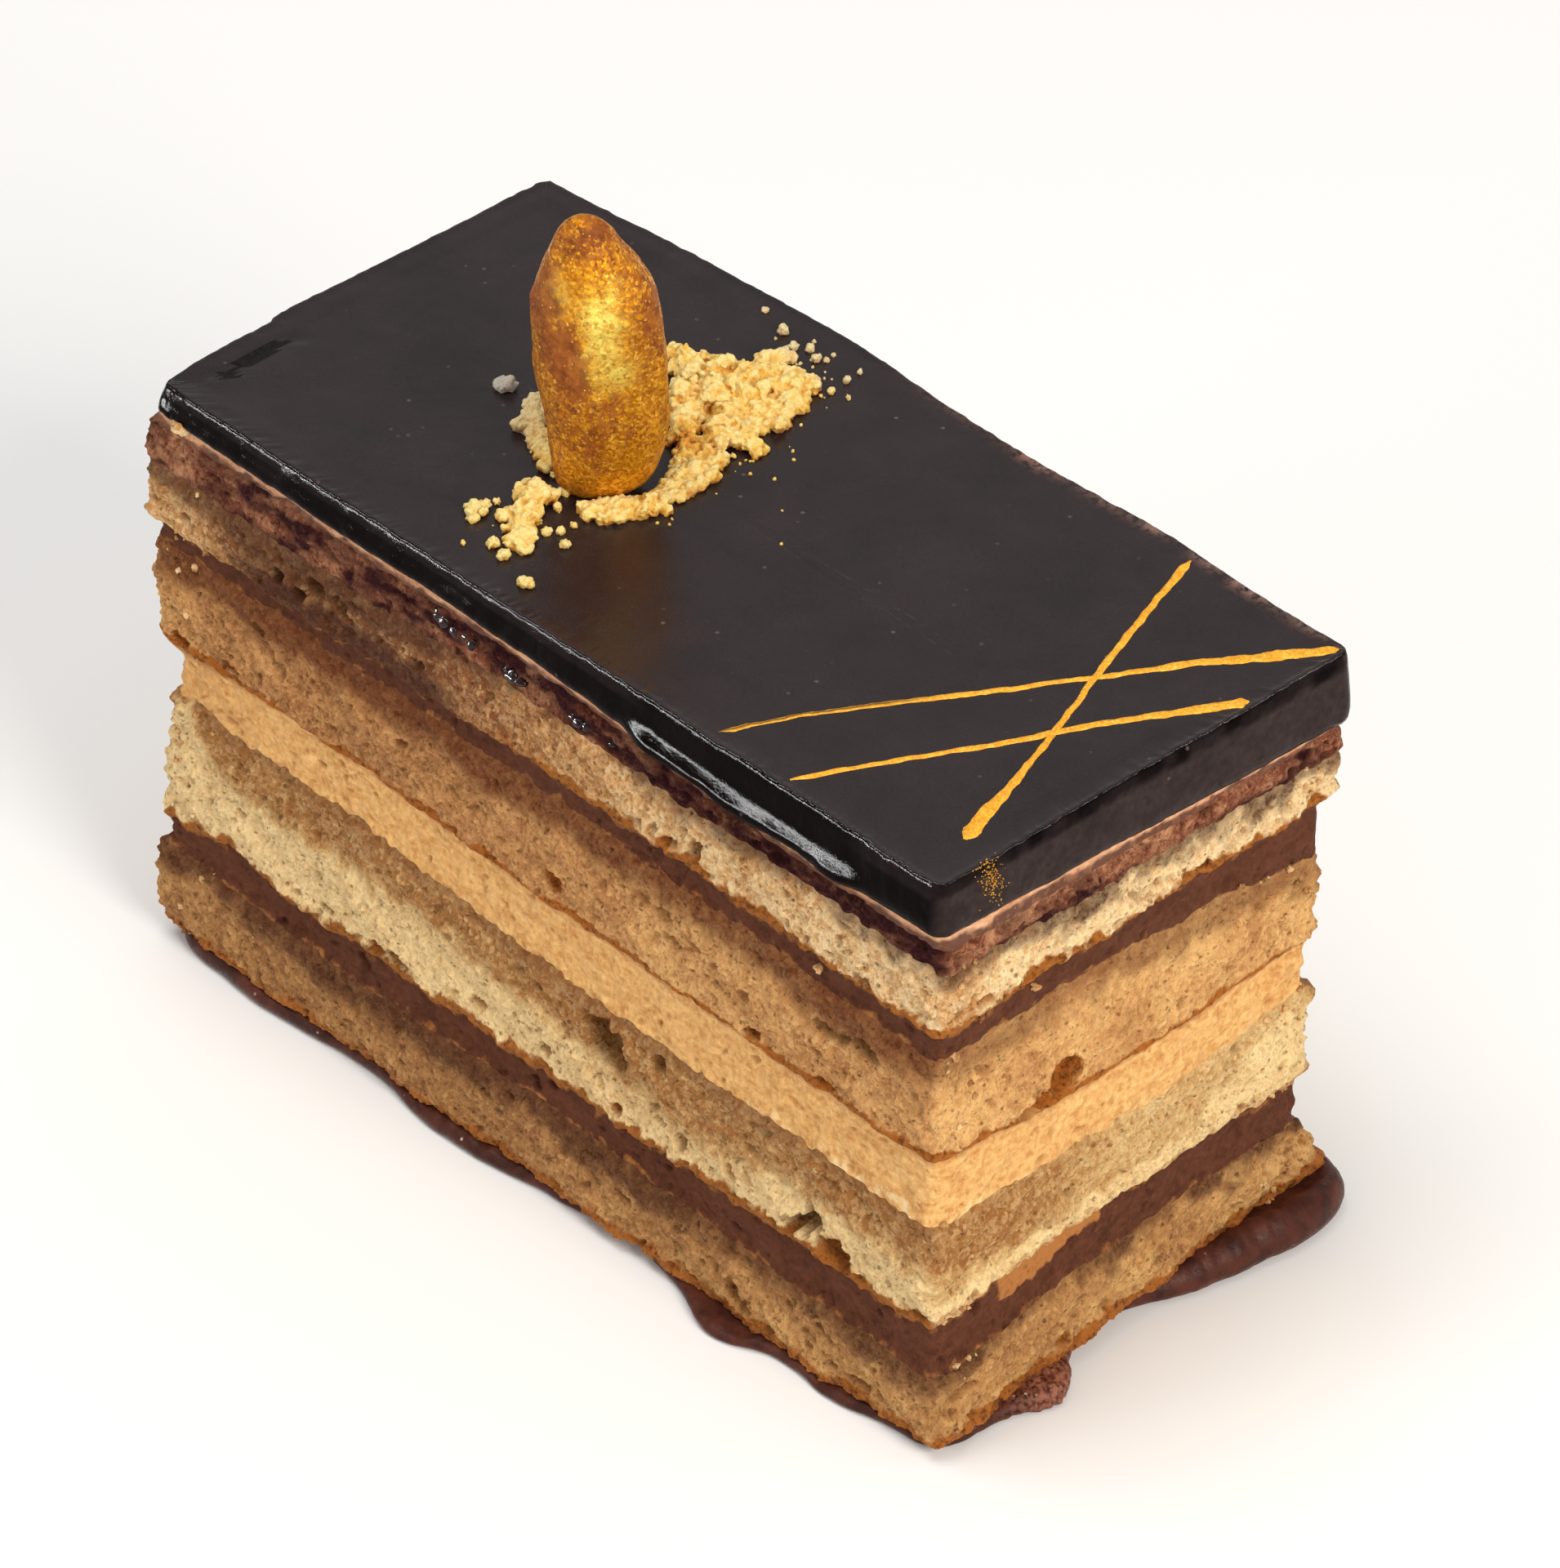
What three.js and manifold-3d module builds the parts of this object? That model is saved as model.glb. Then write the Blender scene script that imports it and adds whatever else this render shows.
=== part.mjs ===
// One slice of opera cake: four sponges with ganache, coffee buttercream and mocha cream between
// them, on a thin chocolate base, under a dark glaze with gold lines, an upright gilded almond and
// crumble. Millimetres, +Z up, the plate at z = 0, the long cut face towards -Y.
import * as THREE from "three";
import { mergeVertices } from "three/addons/utils/BufferGeometryUtils.js";
import Module from "manifold-3d";

const wasm = await Module();
wasm.setup();

// Nominal slice, before each layer's own unevenness.
const HALF_LENGTH = 45;
const HALF_WIDTH = 21;
const CORNER_RADIUS = 1.2;
const LAYER_GAP = 0.3;
const TOPPING_GAP = 0.15;
const LONG_STEPS = 40;
const SHORT_STEPS = 18;
const AROUND = 2 * (LONG_STEPS + SHORT_STEPS);

// Glaze top: a plane that sinks slightly towards the cut corner.
const GLAZE_HEIGHT = 54.9;
const GLAZE_FALL_X = -0.012;
const GLAZE_FALL_Y = 0.012;

// Heights of each layer's underside above the plate. front: at five even stations along the long
// cut face, from -X to +X. side: what is added at y = -7, 7 and 21 down the short cut face.
// reach: how far each face stands out (+) or back (-) from the nominal slice. near and far are the
// two ends of the short cut face, backEnd the far long face's -X end and backNear its +X end.
// lean: how much further out than its top a torn face's foot stands, at the -X end and at the far
// long face's +X end.
const LAYERS = [
  {
    name: "sponge_bottom",
    colour: "#b98f5c",
    roughness: 0.95,
    bands: 3,
    grain: 0.34,
    front: [2.0, 1.7, 1.3, 1.1, 1.0],
    side: [0.6, 1.2, 1.8],
    reach: { front: 0.55, near: 0.1, far: -3.3, backNear: 0.2, backEnd: 0.4, end: 1.2 },
    lean: { end: 0, back: 3.4 },
  },
  {
    name: "ganache_lower",
    colour: "#5a3a30",
    roughness: 0.6,
    bands: 2,
    grain: 0.12,
    front: [10.0, 8.5, 8.9, 8.0, 7.4],
    side: [1.4, 1.7, 1.3],
    reach: { front: -0.2, near: -1.0, far: -2.9, backNear: -0.7, backEnd: -0.3, end: 0.0 },
  },
  {
    name: "sponge_lower_mid",
    colour: "#c79b62",
    roughness: 0.95,
    bands: 3,
    grain: 0.36,
    front: [12.0, 11.9, 11.8, 11.5, 12.0],
    side: [1.2, 1.4, 1.0],
    reach: { front: 0.15, near: -1.0, far: -2.6, backNear: 0.1, backEnd: 0.2, end: -1.2 },
    lean: { end: 2.3, back: 0 },
  },
  {
    name: "coffee_buttercream",
    colour: "#dca56c",
    roughness: 0.5,
    bands: 2,
    grain: 0.1,
    front: [25.6, 24.4, 22.8, 21.8, 21.6],
    side: [-0.4, -0.6, 0.7],
    reach: { front: -0.35, near: -1.4, far: -2.5, backNear: -0.8, backEnd: -0.5, end: -1.7 },
  },
  {
    name: "sponge_upper_mid",
    colour: "#c79b62",
    roughness: 0.95,
    bands: 3,
    grain: 0.32,
    front: [30.0, 30.0, 28.7, 28.2, 27.8],
    side: [-1.4, -1.2, -0.3],
    reach: { front: 0.1, near: -1.3, far: -2.0, backNear: 0.1, backEnd: 0.2, end: 0.5 },
  },
  {
    name: "ganache_upper",
    colour: "#5a3a30",
    roughness: 0.6,
    bands: 1,
    grain: 0.1,
    front: [40.0, 39.5, 39.2, 38.5, 37.4],
    side: [0.0, -0.4, -1.9],
    reach: { front: -0.3, near: -1.0, far: -1.7, backNear: -0.6, backEnd: -0.3, end: 0.0 },
  },
  {
    name: "sponge_top",
    colour: "#cda468",
    roughness: 0.95,
    bands: 2,
    grain: 0.32,
    front: [41.5, 41.2, 41.3, 40.7, 39.7],
    side: [0.6, 1.1, 1.5],
    reach: { front: 0.2, near: -0.4, far: -0.8, backNear: 0.4, backEnd: 0.4, end: 0.9 },
  },
  {
    name: "cocoa_band",
    colour: "#6d4330",
    roughness: 0.75,
    bands: 1,
    grain: 0.2,
    front: [47.0, 47.0, 47.4, 46.8, 46.2],
    side: [-0.6, -0.5, -1.1],
    reach: { front: -0.1, near: -0.5, far: -0.8, backNear: 1.0, backEnd: 0.2, end: 1.1 },
  },
  {
    name: "mocha_cream",
    colour: "#cfa98a",
    roughness: 0.55,
    bands: 1,
    grain: 0.06,
    front: [51.0, 50.6, 50.2, 48.5, 47.9],
    side: [-0.2, -0.3, -0.5],
    reach: { front: -0.25, near: -0.6, far: -0.9, backNear: -0.3, backEnd: -0.2, end: -0.2 },
  },
];

// Glaze: its lower edge, and the rounded lip from the sides to the rim, as insets and height shares.
const GLAZE = {
  name: "glaze",
  colour: "#2c2526",
  roughness: 0.3,
  front: [52.3, 51.9, 51.3, 49.8, 49.5],
  side: [-0.4, -0.9, -1.2],
  reach: { front: 0.25, near: -0.5, far: -0.4, backNear: 0.8, backEnd: 0.8, end: -0.4 },
};
const GLAZE_LIP = [
  [0, 0],
  [-0.15, 0.35],
  [0.25, 0.78],
  [0.95, 1],
  [2.2, 0.975],
];

// Chocolate base: a poured foot that laps past the bottom sponge.
const BASE = { name: "base_chocolate", colour: "#3d2724", roughness: 0.45 };
const BASE_CORNER_RADIUS = 3.2;
const BASE_LIP = [
  [0.35, 0],
  [0, 0.45],
  [0.5, 1],
];

// Rounded lobes (+) and notches (-) in the outline of the base and of the glaze.
const LOBES = [
  { node: "base_chocolate", face: "front", at: -34, reach: 1.1, width: 9 },
  { node: "base_chocolate", face: "front", at: -9, reach: 1.6, width: 8 },
  { node: "base_chocolate", face: "front", at: 8, reach: -0.6, width: 4 },
  { node: "base_chocolate", face: "front", at: 22, reach: 2.7, width: 5 },
  { node: "base_chocolate", face: "front", at: 34, reach: 1.4, width: 5 },
  { node: "base_chocolate", face: "side", at: -9.5, reach: 2.2, width: 3.2 },
  { node: "base_chocolate", face: "side", at: -1, reach: -3.4, width: 6 },
  { node: "base_chocolate", face: "side", at: 17, reach: 0.9, width: 5 },
  { node: "base_chocolate", face: "back", at: 38, reach: 4.3, width: 12 },
  { node: "base_chocolate", face: "back", at: -10, reach: 1.2, width: 14 },
  { node: "base_chocolate", face: "end", at: 4, reach: 1.8, width: 14 },
  { node: "glaze", face: "back", at: -45, reach: -1.5, width: 13 },
  { node: "glaze", face: "back", at: 45, reach: 0.5, width: 15 },
  { node: "glaze", face: "end", at: 21, reach: -0.5, width: 20 },
];

// Torn hollows in the cut faces, as gaussian dents. size: half width, half height and depth.
const HOLLOWS = [
  { layer: "sponge_lower_mid", face: "front", at: 30, z: 15, size: [2.6, 2.4, 1.7] },
  { layer: "sponge_lower_mid", face: "front", at: 7.5, z: 19.5, size: [2.6, 2.2, 0.9] },
  { layer: "sponge_upper_mid", face: "front", at: 35.5, z: 34.2, size: [3.4, 1.6, 1.3] },
  { layer: "sponge_upper_mid", face: "side", at: -8, z: 29, size: [2.4, 2.2, 1.2] },
  { layer: "sponge_bottom", face: "front", at: 22, z: 3, size: [2, 1, 0.8] },
  { layer: "cocoa_band", face: "front", at: -19, z: 47.5, size: [6, 2.5, 0.5] },
];

// Crossing waves of the cut faces' unevenness: share of the grain, radians per millimetre along
// each axis, and how much of a layer's own phase each takes.
const WAVES = [
  { share: 0.5, x: 0.31, y: 0.47, z: 0.9, phase: 1 },
  { share: 0.35, x: 0.83, y: -1.03, z: 1.7, phase: 2.3 },
  { share: 0.25, x: 1.9, y: 1.7, z: -2.9, phase: 4.1 },
];

// Gold lines on the glaze: [x, y, half width] at stations of each centre line.
const GOLD_HEIGHT = 0.35;
const GOLD_ROOT = 0.5;
const GOLD_BEVEL = 0.14;
const GOLD_LINES = [
  [
    [19.4, -19.2, 0.2], [24.5, -9.5, 0.2], [30, 0, 0.25],
    [35, 7.5, 0.3], [39.5, 15, 0.55], [43.3, 20, 0.4],
  ],
  [
    [27.8, -19.4, 0.25], [32, -11, 0.25], [36.3, -2, 0.3],
    [40, 5.5, 0.4], [43, 11.2, 0.65],
  ],
  [
    [28.3, 20.3, 0.3], [30, 15, 0.25], [33.7, 5, 0.25],
    [36.3, -2, 0.3], [39.5, -10, 0.3], [41.2, -15.5, 0.7],
  ],
];

// Almond: stands on its blunt end, its broad face turned to the cut corner, its tip leaning back.
// blunt and pointed: powers that round its foot and its tip. turn, lean, leanTowards: degrees.
const ALMOND = {
  name: "almond",
  colour: "#c88a1e",
  roughness: 0.35,
  metalness: 0.6,
  length: 24.65,
  halfBreadth: 5.3,
  halfThickness: 4.05,
  blunt: 0.418,
  pointed: 0.532,
  foot: [-8.4, -4.15],
  turn: 42,
  lean: 8,
  leanTowards: 206.3,
  footFlat: 0.25,
  rows: 12,
  around: 24,
};

// Crumble: heaps along spines of [x, y] points, each with its half width and its rise above the
// glaze. lumps: how many small lumps are fused on at each station.
const CRUMBLE = {
  colour: "#f0d08c",
  roughness: 0.9,
  seed: 7,
  heaps: [
    {
      name: "crumble_heap",
      spines: [
        {
          points: [[-6.9, -9.6], [-6.4, -7.3], [-4.7, -5], [-3.9, -2.6], [-4.6, 0.2], [-6.2, 3.3]],
          radius: 1.15,
          rise: 1.5,
          lumps: 1,
        },
        {
          points: [[-6.2, 3.3], [-7.9, 5.8], [-10.3, 8.8], [-13.4, 9.4], [-17.4, 9.9]],
          radius: 1.95,
          rise: 2.6,
          lumps: 2,
        },
        { points: [[-9.2, 9], [-9.7, 12], [-9, 15]], radius: 2.2, rise: 2.1, lumps: 3 },
        { points: [[-8.5, 8.5], [-6.1, 6.7]], radius: 1.4, rise: 1.7, lumps: 1 },
        { points: [[-11.6, 12.6], [-12.4, 15.6]], radius: 1.25, rise: 1.4, lumps: 1 },
      ],
    },
    {
      name: "crumble_front",
      spines: [
        {
          points: [[-12.2, -9.9], [-11, -11.9], [-9.6, -13.7], [-7.9, -15.6]],
          radius: 1.5,
          rise: 2,
          lumps: 2,
        },
      ],
    },
    {
      name: "crumble_left",
      spines: [
        { points: [[-20, -2.7], [-17.4, -5], [-13.6, -7]], radius: 1.25, rise: 1.7, lumps: 1 },
      ],
    },
  ],
};
// Stations stand this many half widths apart. A core is this share of its heap's width and rise.
const STATION_PITCH = 1.15;
const CORE_WIDTH = 0.8;
const CORE_RISE = 0.7;
// Lumps: radius, distance from the spine in half widths, share of the heap's rise there, how much
// of a lump lies below that, and how much the heap falls away towards its edge.
const LUMP_RADIUS = [0.65, 1.15];
const LUMP_OFF = [0.3, 0.85];
const LUMP_RISE = [0.5, 1];
const LUMP_SINK = 0.6;
const HEAP_FALL = 0.6;
const SPIN_RATIO = 2.1;
const TOPPING_ROOM = 40;

function clamp01(value) {
  return Math.min(Math.max(value, 0), 1);
}

function dent(distance, width) {
  return Math.exp(-((distance / width) ** 2));
}

// Catmull-Rom value at share 0..1 through evenly spaced station values.
function alongStations(values, share) {
  const last = values.length - 1;
  const place = clamp01(share) * last;
  const index = Math.min(Math.floor(place), last - 1);
  const f = place - index;
  const b = values[index];
  const c = values[index + 1];
  const a = index > 0 ? values[index - 1] : 2 * b - c;
  const d = index + 2 <= last ? values[index + 2] : 2 * c - b;
  const cubic = (3 * (b - c) + d - a) * f ** 3;
  const square = (2 * a - 5 * b + 4 * c - d) * f ** 2;
  return b + 0.5 * ((c - a) * f + square + cubic);
}

// Height of a layer boundary: the long face's stations, with the short face's rise fading in
// towards +X.
function boundaryHeight(layer, x, y) {
  const along = (x + HALF_LENGTH) / (2 * HALF_LENGTH);
  const across = (y + HALF_WIDTH) / (2 * HALF_WIDTH);
  const rise = alongStations([0, ...layer.side], across);
  const fade = clamp01(x / HALF_LENGTH) ** 2;
  return alongStations(layer.front, along) + rise * fade;
}

function glazeTop(x, y) {
  return GLAZE_HEIGHT + GLAZE_FALL_X * x + GLAZE_FALL_Y * y;
}

// Point number index on the rounded rectangle that is inset from the nominal slice, counted
// anticlockwise from the -X end of the long cut face.
function outlinePoint(index, inset, cornerRadius) {
  const halfX = HALF_LENGTH - inset;
  const halfY = HALF_WIDTH - inset;
  const step = ((index % AROUND) + AROUND) % AROUND;
  const onLong = step % (LONG_STEPS + SHORT_STEPS);
  const turned = step >= LONG_STEPS + SHORT_STEPS ? -1 : 1;
  const point = new THREE.Vector2();
  if (onLong < LONG_STEPS) {
    point.set(-halfX + (2 * halfX * onLong) / LONG_STEPS, -halfY);
  } else {
    point.set(halfX, -halfY + (2 * halfY * (onLong - LONG_STEPS)) / SHORT_STEPS);
  }
  point.multiplyScalar(turned);
  const overX = Math.abs(point.x) - (halfX - cornerRadius);
  const overY = Math.abs(point.y) - (halfY - cornerRadius);
  if (overX > 0 && overY > 0) {
    const shrink = cornerRadius / Math.max(Math.hypot(overX, overY), cornerRadius);
    point.x = Math.sign(point.x) * (halfX - cornerRadius + overX * shrink);
    point.y = Math.sign(point.y) * (halfY - cornerRadius + overY * shrink);
  }
  return point;
}

// Outward stand of a face at a nominal point, in X and in Y, from a layer's reach.
function standOut(reach, x, y) {
  const across = (y + HALF_WIDTH) / (2 * HALF_WIDTH);
  const along = (x + HALF_LENGTH) / (2 * HALF_LENGTH);
  const outX = x > 0 ? THREE.MathUtils.lerp(reach.near, reach.far, across) : reach.end;
  const outY =
    y < 0 ? reach.front : THREE.MathUtils.lerp(reach.backEnd, reach.backNear, along ** 2);
  return new THREE.Vector2((x / HALF_LENGTH) * outX, (y / HALF_WIDTH) * outY);
}

// How strongly a nominal point of an inset ring belongs to a face, 1 on it and 0 on the others.
function onFace(face, nominal, cornerRadius = CORNER_RADIUS, inset = 0) {
  const near = (value, edge) => clamp01(1 - Math.abs(value - edge) / cornerRadius);
  if (face === "front") return near(nominal.y, inset - HALF_WIDTH);
  if (face === "back") return near(nominal.y, HALF_WIDTH - inset);
  if (face === "side") return near(nominal.x, HALF_LENGTH - inset);
  return near(nominal.x, inset - HALF_LENGTH);
}

const FACE_NORMALS = {
  front: new THREE.Vector2(0, -1),
  side: new THREE.Vector2(1, 0),
  back: new THREE.Vector2(0, 1),
  end: new THREE.Vector2(-1, 0),
};

function alongFace(face, nominal) {
  return face === "front" || face === "back" ? nominal.x : nominal.y;
}

// How far the lobes of a node move its edge at a nominal point.
function lobeShift(node, nominal, cornerRadius, inset) {
  const shift = new THREE.Vector2();
  for (const lobe of LOBES) {
    if (lobe.node !== node) continue;
    const belongs = onFace(lobe.face, nominal, cornerRadius, inset);
    const sideways = dent(alongFace(lobe.face, nominal) - lobe.at, lobe.width);
    shift.addScaledVector(FACE_NORMALS[lobe.face], belongs * sideways * lobe.reach);
  }
  return shift;
}

// Smooth unevenness of a cut face, -1 to 1; it differs from layer to layer.
function waver(x, y, z, layerPhase) {
  let sum = 0;
  for (const wave of WAVES) {
    sum += wave.share * Math.sin(wave.x * x + wave.y * y + wave.z * z + wave.phase * layerPhase);
  }
  return sum;
}

// A closed solid lofted through rings. Each ring is [inset, share] and runs round the outline;
// place turns a nominal point, its ring's height share and its inset into the final point; rim is
// 1 on the rings and 0 at the middle of the slice, from where fans close the two ends.
function loft(rings, place, cornerRadius = CORNER_RADIUS) {
  const axisRadius = 0;
  const profile = [new THREE.Vector2(axisRadius, rings[0][1])];
  for (const [inset, share] of rings) profile.push(new THREE.Vector2(HALF_WIDTH - inset, share));
  profile.push(new THREE.Vector2(axisRadius, rings[rings.length - 1][1]));
  const geometry = new THREE.LatheGeometry(profile, AROUND);
  const position = geometry.getAttribute("position");
  const rows = profile.length;
  for (let i = 0; i < position.count; i += 1) {
    const ring = i % rows;
    const centre = ring === 0 || ring === rows - 1;
    const inset = centre ? HALF_WIDTH : HALF_WIDTH - profile[ring].x;
    const index = Math.floor(i / rows);
    const nominal = centre ? new THREE.Vector2() : outlinePoint(index, inset, cornerRadius);
    const point = place(nominal, centre ? 0 : 1, profile[ring].y, inset);
    position.setXYZ(i, point.x, point.y, point.z);
  }
  return weld(geometry);
}

function weld(geometry) {
  geometry.deleteAttribute("normal");
  geometry.deleteAttribute("uv");
  return mergeVertices(geometry);
}

function solidOf(geometry) {
  const welded = weld(geometry);
  const mesh = new wasm.Mesh({
    numProp: 3,
    vertProperties: new Float32Array(welded.getAttribute("position").array),
    triVerts: new Uint32Array(welded.index.array),
  });
  return new wasm.Manifold(mesh);
}

function geometryOf(solid) {
  const mesh = solid.getMesh();
  const geometry = new THREE.BufferGeometry();
  geometry.setAttribute("position", new THREE.BufferAttribute(mesh.vertProperties, 3));
  geometry.setIndex(new THREE.BufferAttribute(mesh.triVerts, 1));
  geometry.computeVertexNormals();
  return geometry;
}

function namedMesh(name, geometry, look) {
  geometry.computeVertexNormals();
  const { colour, roughness, metalness = 0 } = look;
  const material = new THREE.MeshStandardMaterial({ color: colour, roughness, metalness });
  const mesh = new THREE.Mesh(geometry, material);
  mesh.name = name;
  return mesh;
}

// Depth of a layer's hollows at a nominal point and height.
function hollowDepth(name, nominal, z) {
  let total = 0;
  for (const hollow of HOLLOWS) {
    if (hollow.layer !== name) continue;
    const [width, height, depth] = hollow.size;
    const sideways = dent(alongFace(hollow.face, nominal) - hollow.at, width);
    total += onFace(hollow.face, nominal) * depth * sideways * dent(z - hollow.z, height);
  }
  return total;
}

// One layer between its own underside and the next boundary up, a gap clear of both neighbours.
function layerGeometry(layer, above, phase) {
  const rings = [];
  for (let band = 0; band <= layer.bands; band += 1) rings.push([0, band / layer.bands]);
  return loft(rings, (nominal, rim, share) => {
    const lower = boundaryHeight(layer, nominal.x, nominal.y) + LAYER_GAP / 2;
    const upper = boundaryHeight(above, nominal.x, nominal.y) - LAYER_GAP / 2;
    const z = THREE.MathUtils.lerp(lower, upper, share);
    const out = standOut(layer.reach, nominal.x, nominal.y);
    const foot = 1 - share;
    if (layer.lean && nominal.x < 0) out.x += (nominal.x / HALF_LENGTH) * foot * layer.lean.end;
    if (layer.lean && nominal.y > 0) out.y += backShare(nominal) * foot * layer.lean.back;
    const uneven = layer.grain * waver(nominal.x, nominal.y, z, phase);
    const push = rim * (uneven - hollowDepth(layer.name, nominal, z));
    const outward = outwardNormal(nominal);
    return new THREE.Vector3(
      nominal.x + out.x + push * outward.x,
      nominal.y + out.y + push * outward.y,
      z,
    );
  });
}

// Outward direction at a nominal point of the rectangle, mitred at its corners.
function outwardNormal(nominal) {
  const edgeX = clamp01(1 - (HALF_LENGTH - Math.abs(nominal.x)) / CORNER_RADIUS);
  const edgeY = clamp01(1 - (HALF_WIDTH - Math.abs(nominal.y)) / CORNER_RADIUS);
  const normal = new THREE.Vector2(Math.sign(nominal.x) * edgeX, Math.sign(nominal.y) * edgeY);
  return normal.lengthSq() > 0 ? normal.normalize() : normal;
}

// 1 at the +X end of the far long face, fading towards the middle of the slice.
function backShare(nominal) {
  return (nominal.y / HALF_WIDTH) * ((nominal.x + HALF_LENGTH) / (2 * HALF_LENGTH)) ** 2;
}

// The glaze's slab with its rounded lip, and the gold lines fused on.
function glazeGeometry() {
  const slab = loft(GLAZE_LIP, (nominal, rim, share, inset) => {
    const lower = boundaryHeight(GLAZE, nominal.x, nominal.y) + LAYER_GAP / 2;
    const z = THREE.MathUtils.lerp(lower, glazeTop(nominal.x, nominal.y), share);
    const out = standOut(GLAZE.reach, nominal.x, nominal.y);
    out.addScaledVector(lobeShift(GLAZE.name, nominal, CORNER_RADIUS, inset), rim);
    return new THREE.Vector3(nominal.x + out.x, nominal.y + out.y, z);
  });
  let solid = solidOf(slab);
  for (const line of GOLD_LINES) solid = solid.add(solidOf(goldLineGeometry(line)));
  return geometryOf(solid);
}

// A low ridge with a bevelled crest, its outline offset to both sides of the centre line.
function goldLineGeometry(stations) {
  const left = [];
  const right = [];
  stations.forEach(([x, y, halfWidth], i) => {
    const before = stations[Math.max(i - 1, 0)];
    const after = stations[Math.min(i + 1, stations.length - 1)];
    const along = new THREE.Vector2(after[0] - before[0], after[1] - before[1]).normalize();
    const half = halfWidth - GOLD_BEVEL;
    left.push(new THREE.Vector2(x - along.y * half, y + along.x * half));
    right.unshift(new THREE.Vector2(x + along.y * half, y - along.x * half));
  });
  const shape = new THREE.Shape([...left, ...right]);
  const geometry = new THREE.ExtrudeGeometry(shape, {
    depth: GOLD_HEIGHT + GOLD_ROOT - GOLD_BEVEL,
    bevelThickness: GOLD_BEVEL,
    bevelSize: GOLD_BEVEL,
    bevelSegments: 1,
    steps: 1,
  });
  const position = geometry.getAttribute("position");
  for (let i = 0; i < position.count; i += 1) {
    const lift = glazeTop(position.getX(i), position.getY(i)) - GOLD_ROOT;
    position.setZ(i, position.getZ(i) + lift);
  }
  return geometry;
}

// The base's rounded lip lapping out past the bottom sponge.
function baseGeometry() {
  const place = (nominal, rim, share, inset) => {
    const shift = lobeShift(BASE.name, nominal, BASE_CORNER_RADIUS, inset).multiplyScalar(rim);
    const top = boundaryHeight(LAYERS[0], nominal.x, nominal.y) - LAYER_GAP / 2;
    return new THREE.Vector3(nominal.x + shift.x, nominal.y + shift.y, share * top);
  };
  return loft(BASE_LIP, place, BASE_CORNER_RADIUS);
}

// Almond radius share along its length, 0 at both ends and 1 at the widest place.
function almondBulge(share) {
  const raw = (s) => s ** ALMOND.blunt * (1 - s) ** ALMOND.pointed;
  return raw(share) / raw(ALMOND.blunt / (ALMOND.blunt + ALMOND.pointed));
}

function almondGeometry(clearance) {
  const profile = [];
  for (let row = 0; row <= ALMOND.rows; row += 1) {
    const share = 0.5 - 0.5 * Math.cos((Math.PI * row) / ALMOND.rows);
    const end = row === 0 || row === ALMOND.rows;
    profile.push(new THREE.Vector2(end ? 0 : almondBulge(share), share));
  }
  const geometry = new THREE.LatheGeometry(profile, ALMOND.around);
  geometry.rotateX(Math.PI / 2);
  geometry.scale(
    ALMOND.halfBreadth + clearance,
    ALMOND.halfThickness + clearance,
    ALMOND.length + clearance,
  );
  geometry.rotateZ(THREE.MathUtils.degToRad(ALMOND.turn));
  const towards = THREE.MathUtils.degToRad(ALMOND.leanTowards);
  const axis = new THREE.Vector3(-Math.sin(towards), Math.cos(towards), 0);
  const lean = THREE.MathUtils.degToRad(ALMOND.lean);
  geometry.applyMatrix4(new THREE.Matrix4().makeRotationAxis(axis, lean));
  const [x, y] = ALMOND.foot;
  geometry.translate(x, y, glazeTop(x, y) - ALMOND.footFlat);
  return geometry;
}

// Everything above the glaze top, a topping's gap clear of it.
function aboveGlaze() {
  const block = new THREE.BoxGeometry(2 * HALF_LENGTH, 2 * HALF_WIDTH, TOPPING_ROOM);
  const position = block.getAttribute("position");
  for (let i = 0; i < position.count; i += 1) {
    const foot = glazeTop(position.getX(i), position.getY(i)) + TOPPING_GAP;
    position.setZ(i, position.getZ(i) + foot + TOPPING_ROOM / 2);
  }
  return solidOf(block);
}

// Small seeded generator (Park and Miller's), so that the lumps fall the same way each time.
function seededRandom(seed) {
  const multiplier = 16807;
  const modulus = 2147483647;
  let state = seed;
  return () => {
    state = (state * multiplier) % modulus;
    return state / modulus;
  };
}

// A faceted lump, turned by spin and flattened to its rise.
function placedLump(radius, flatten, spin, x, y, z) {
  const lump = new THREE.IcosahedronGeometry(radius, 0);
  lump.rotateX(spin);
  lump.rotateY(SPIN_RATIO * spin);
  lump.scale(1, 1, flatten);
  lump.translate(x, y, z);
  return solidOf(lump);
}

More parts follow.
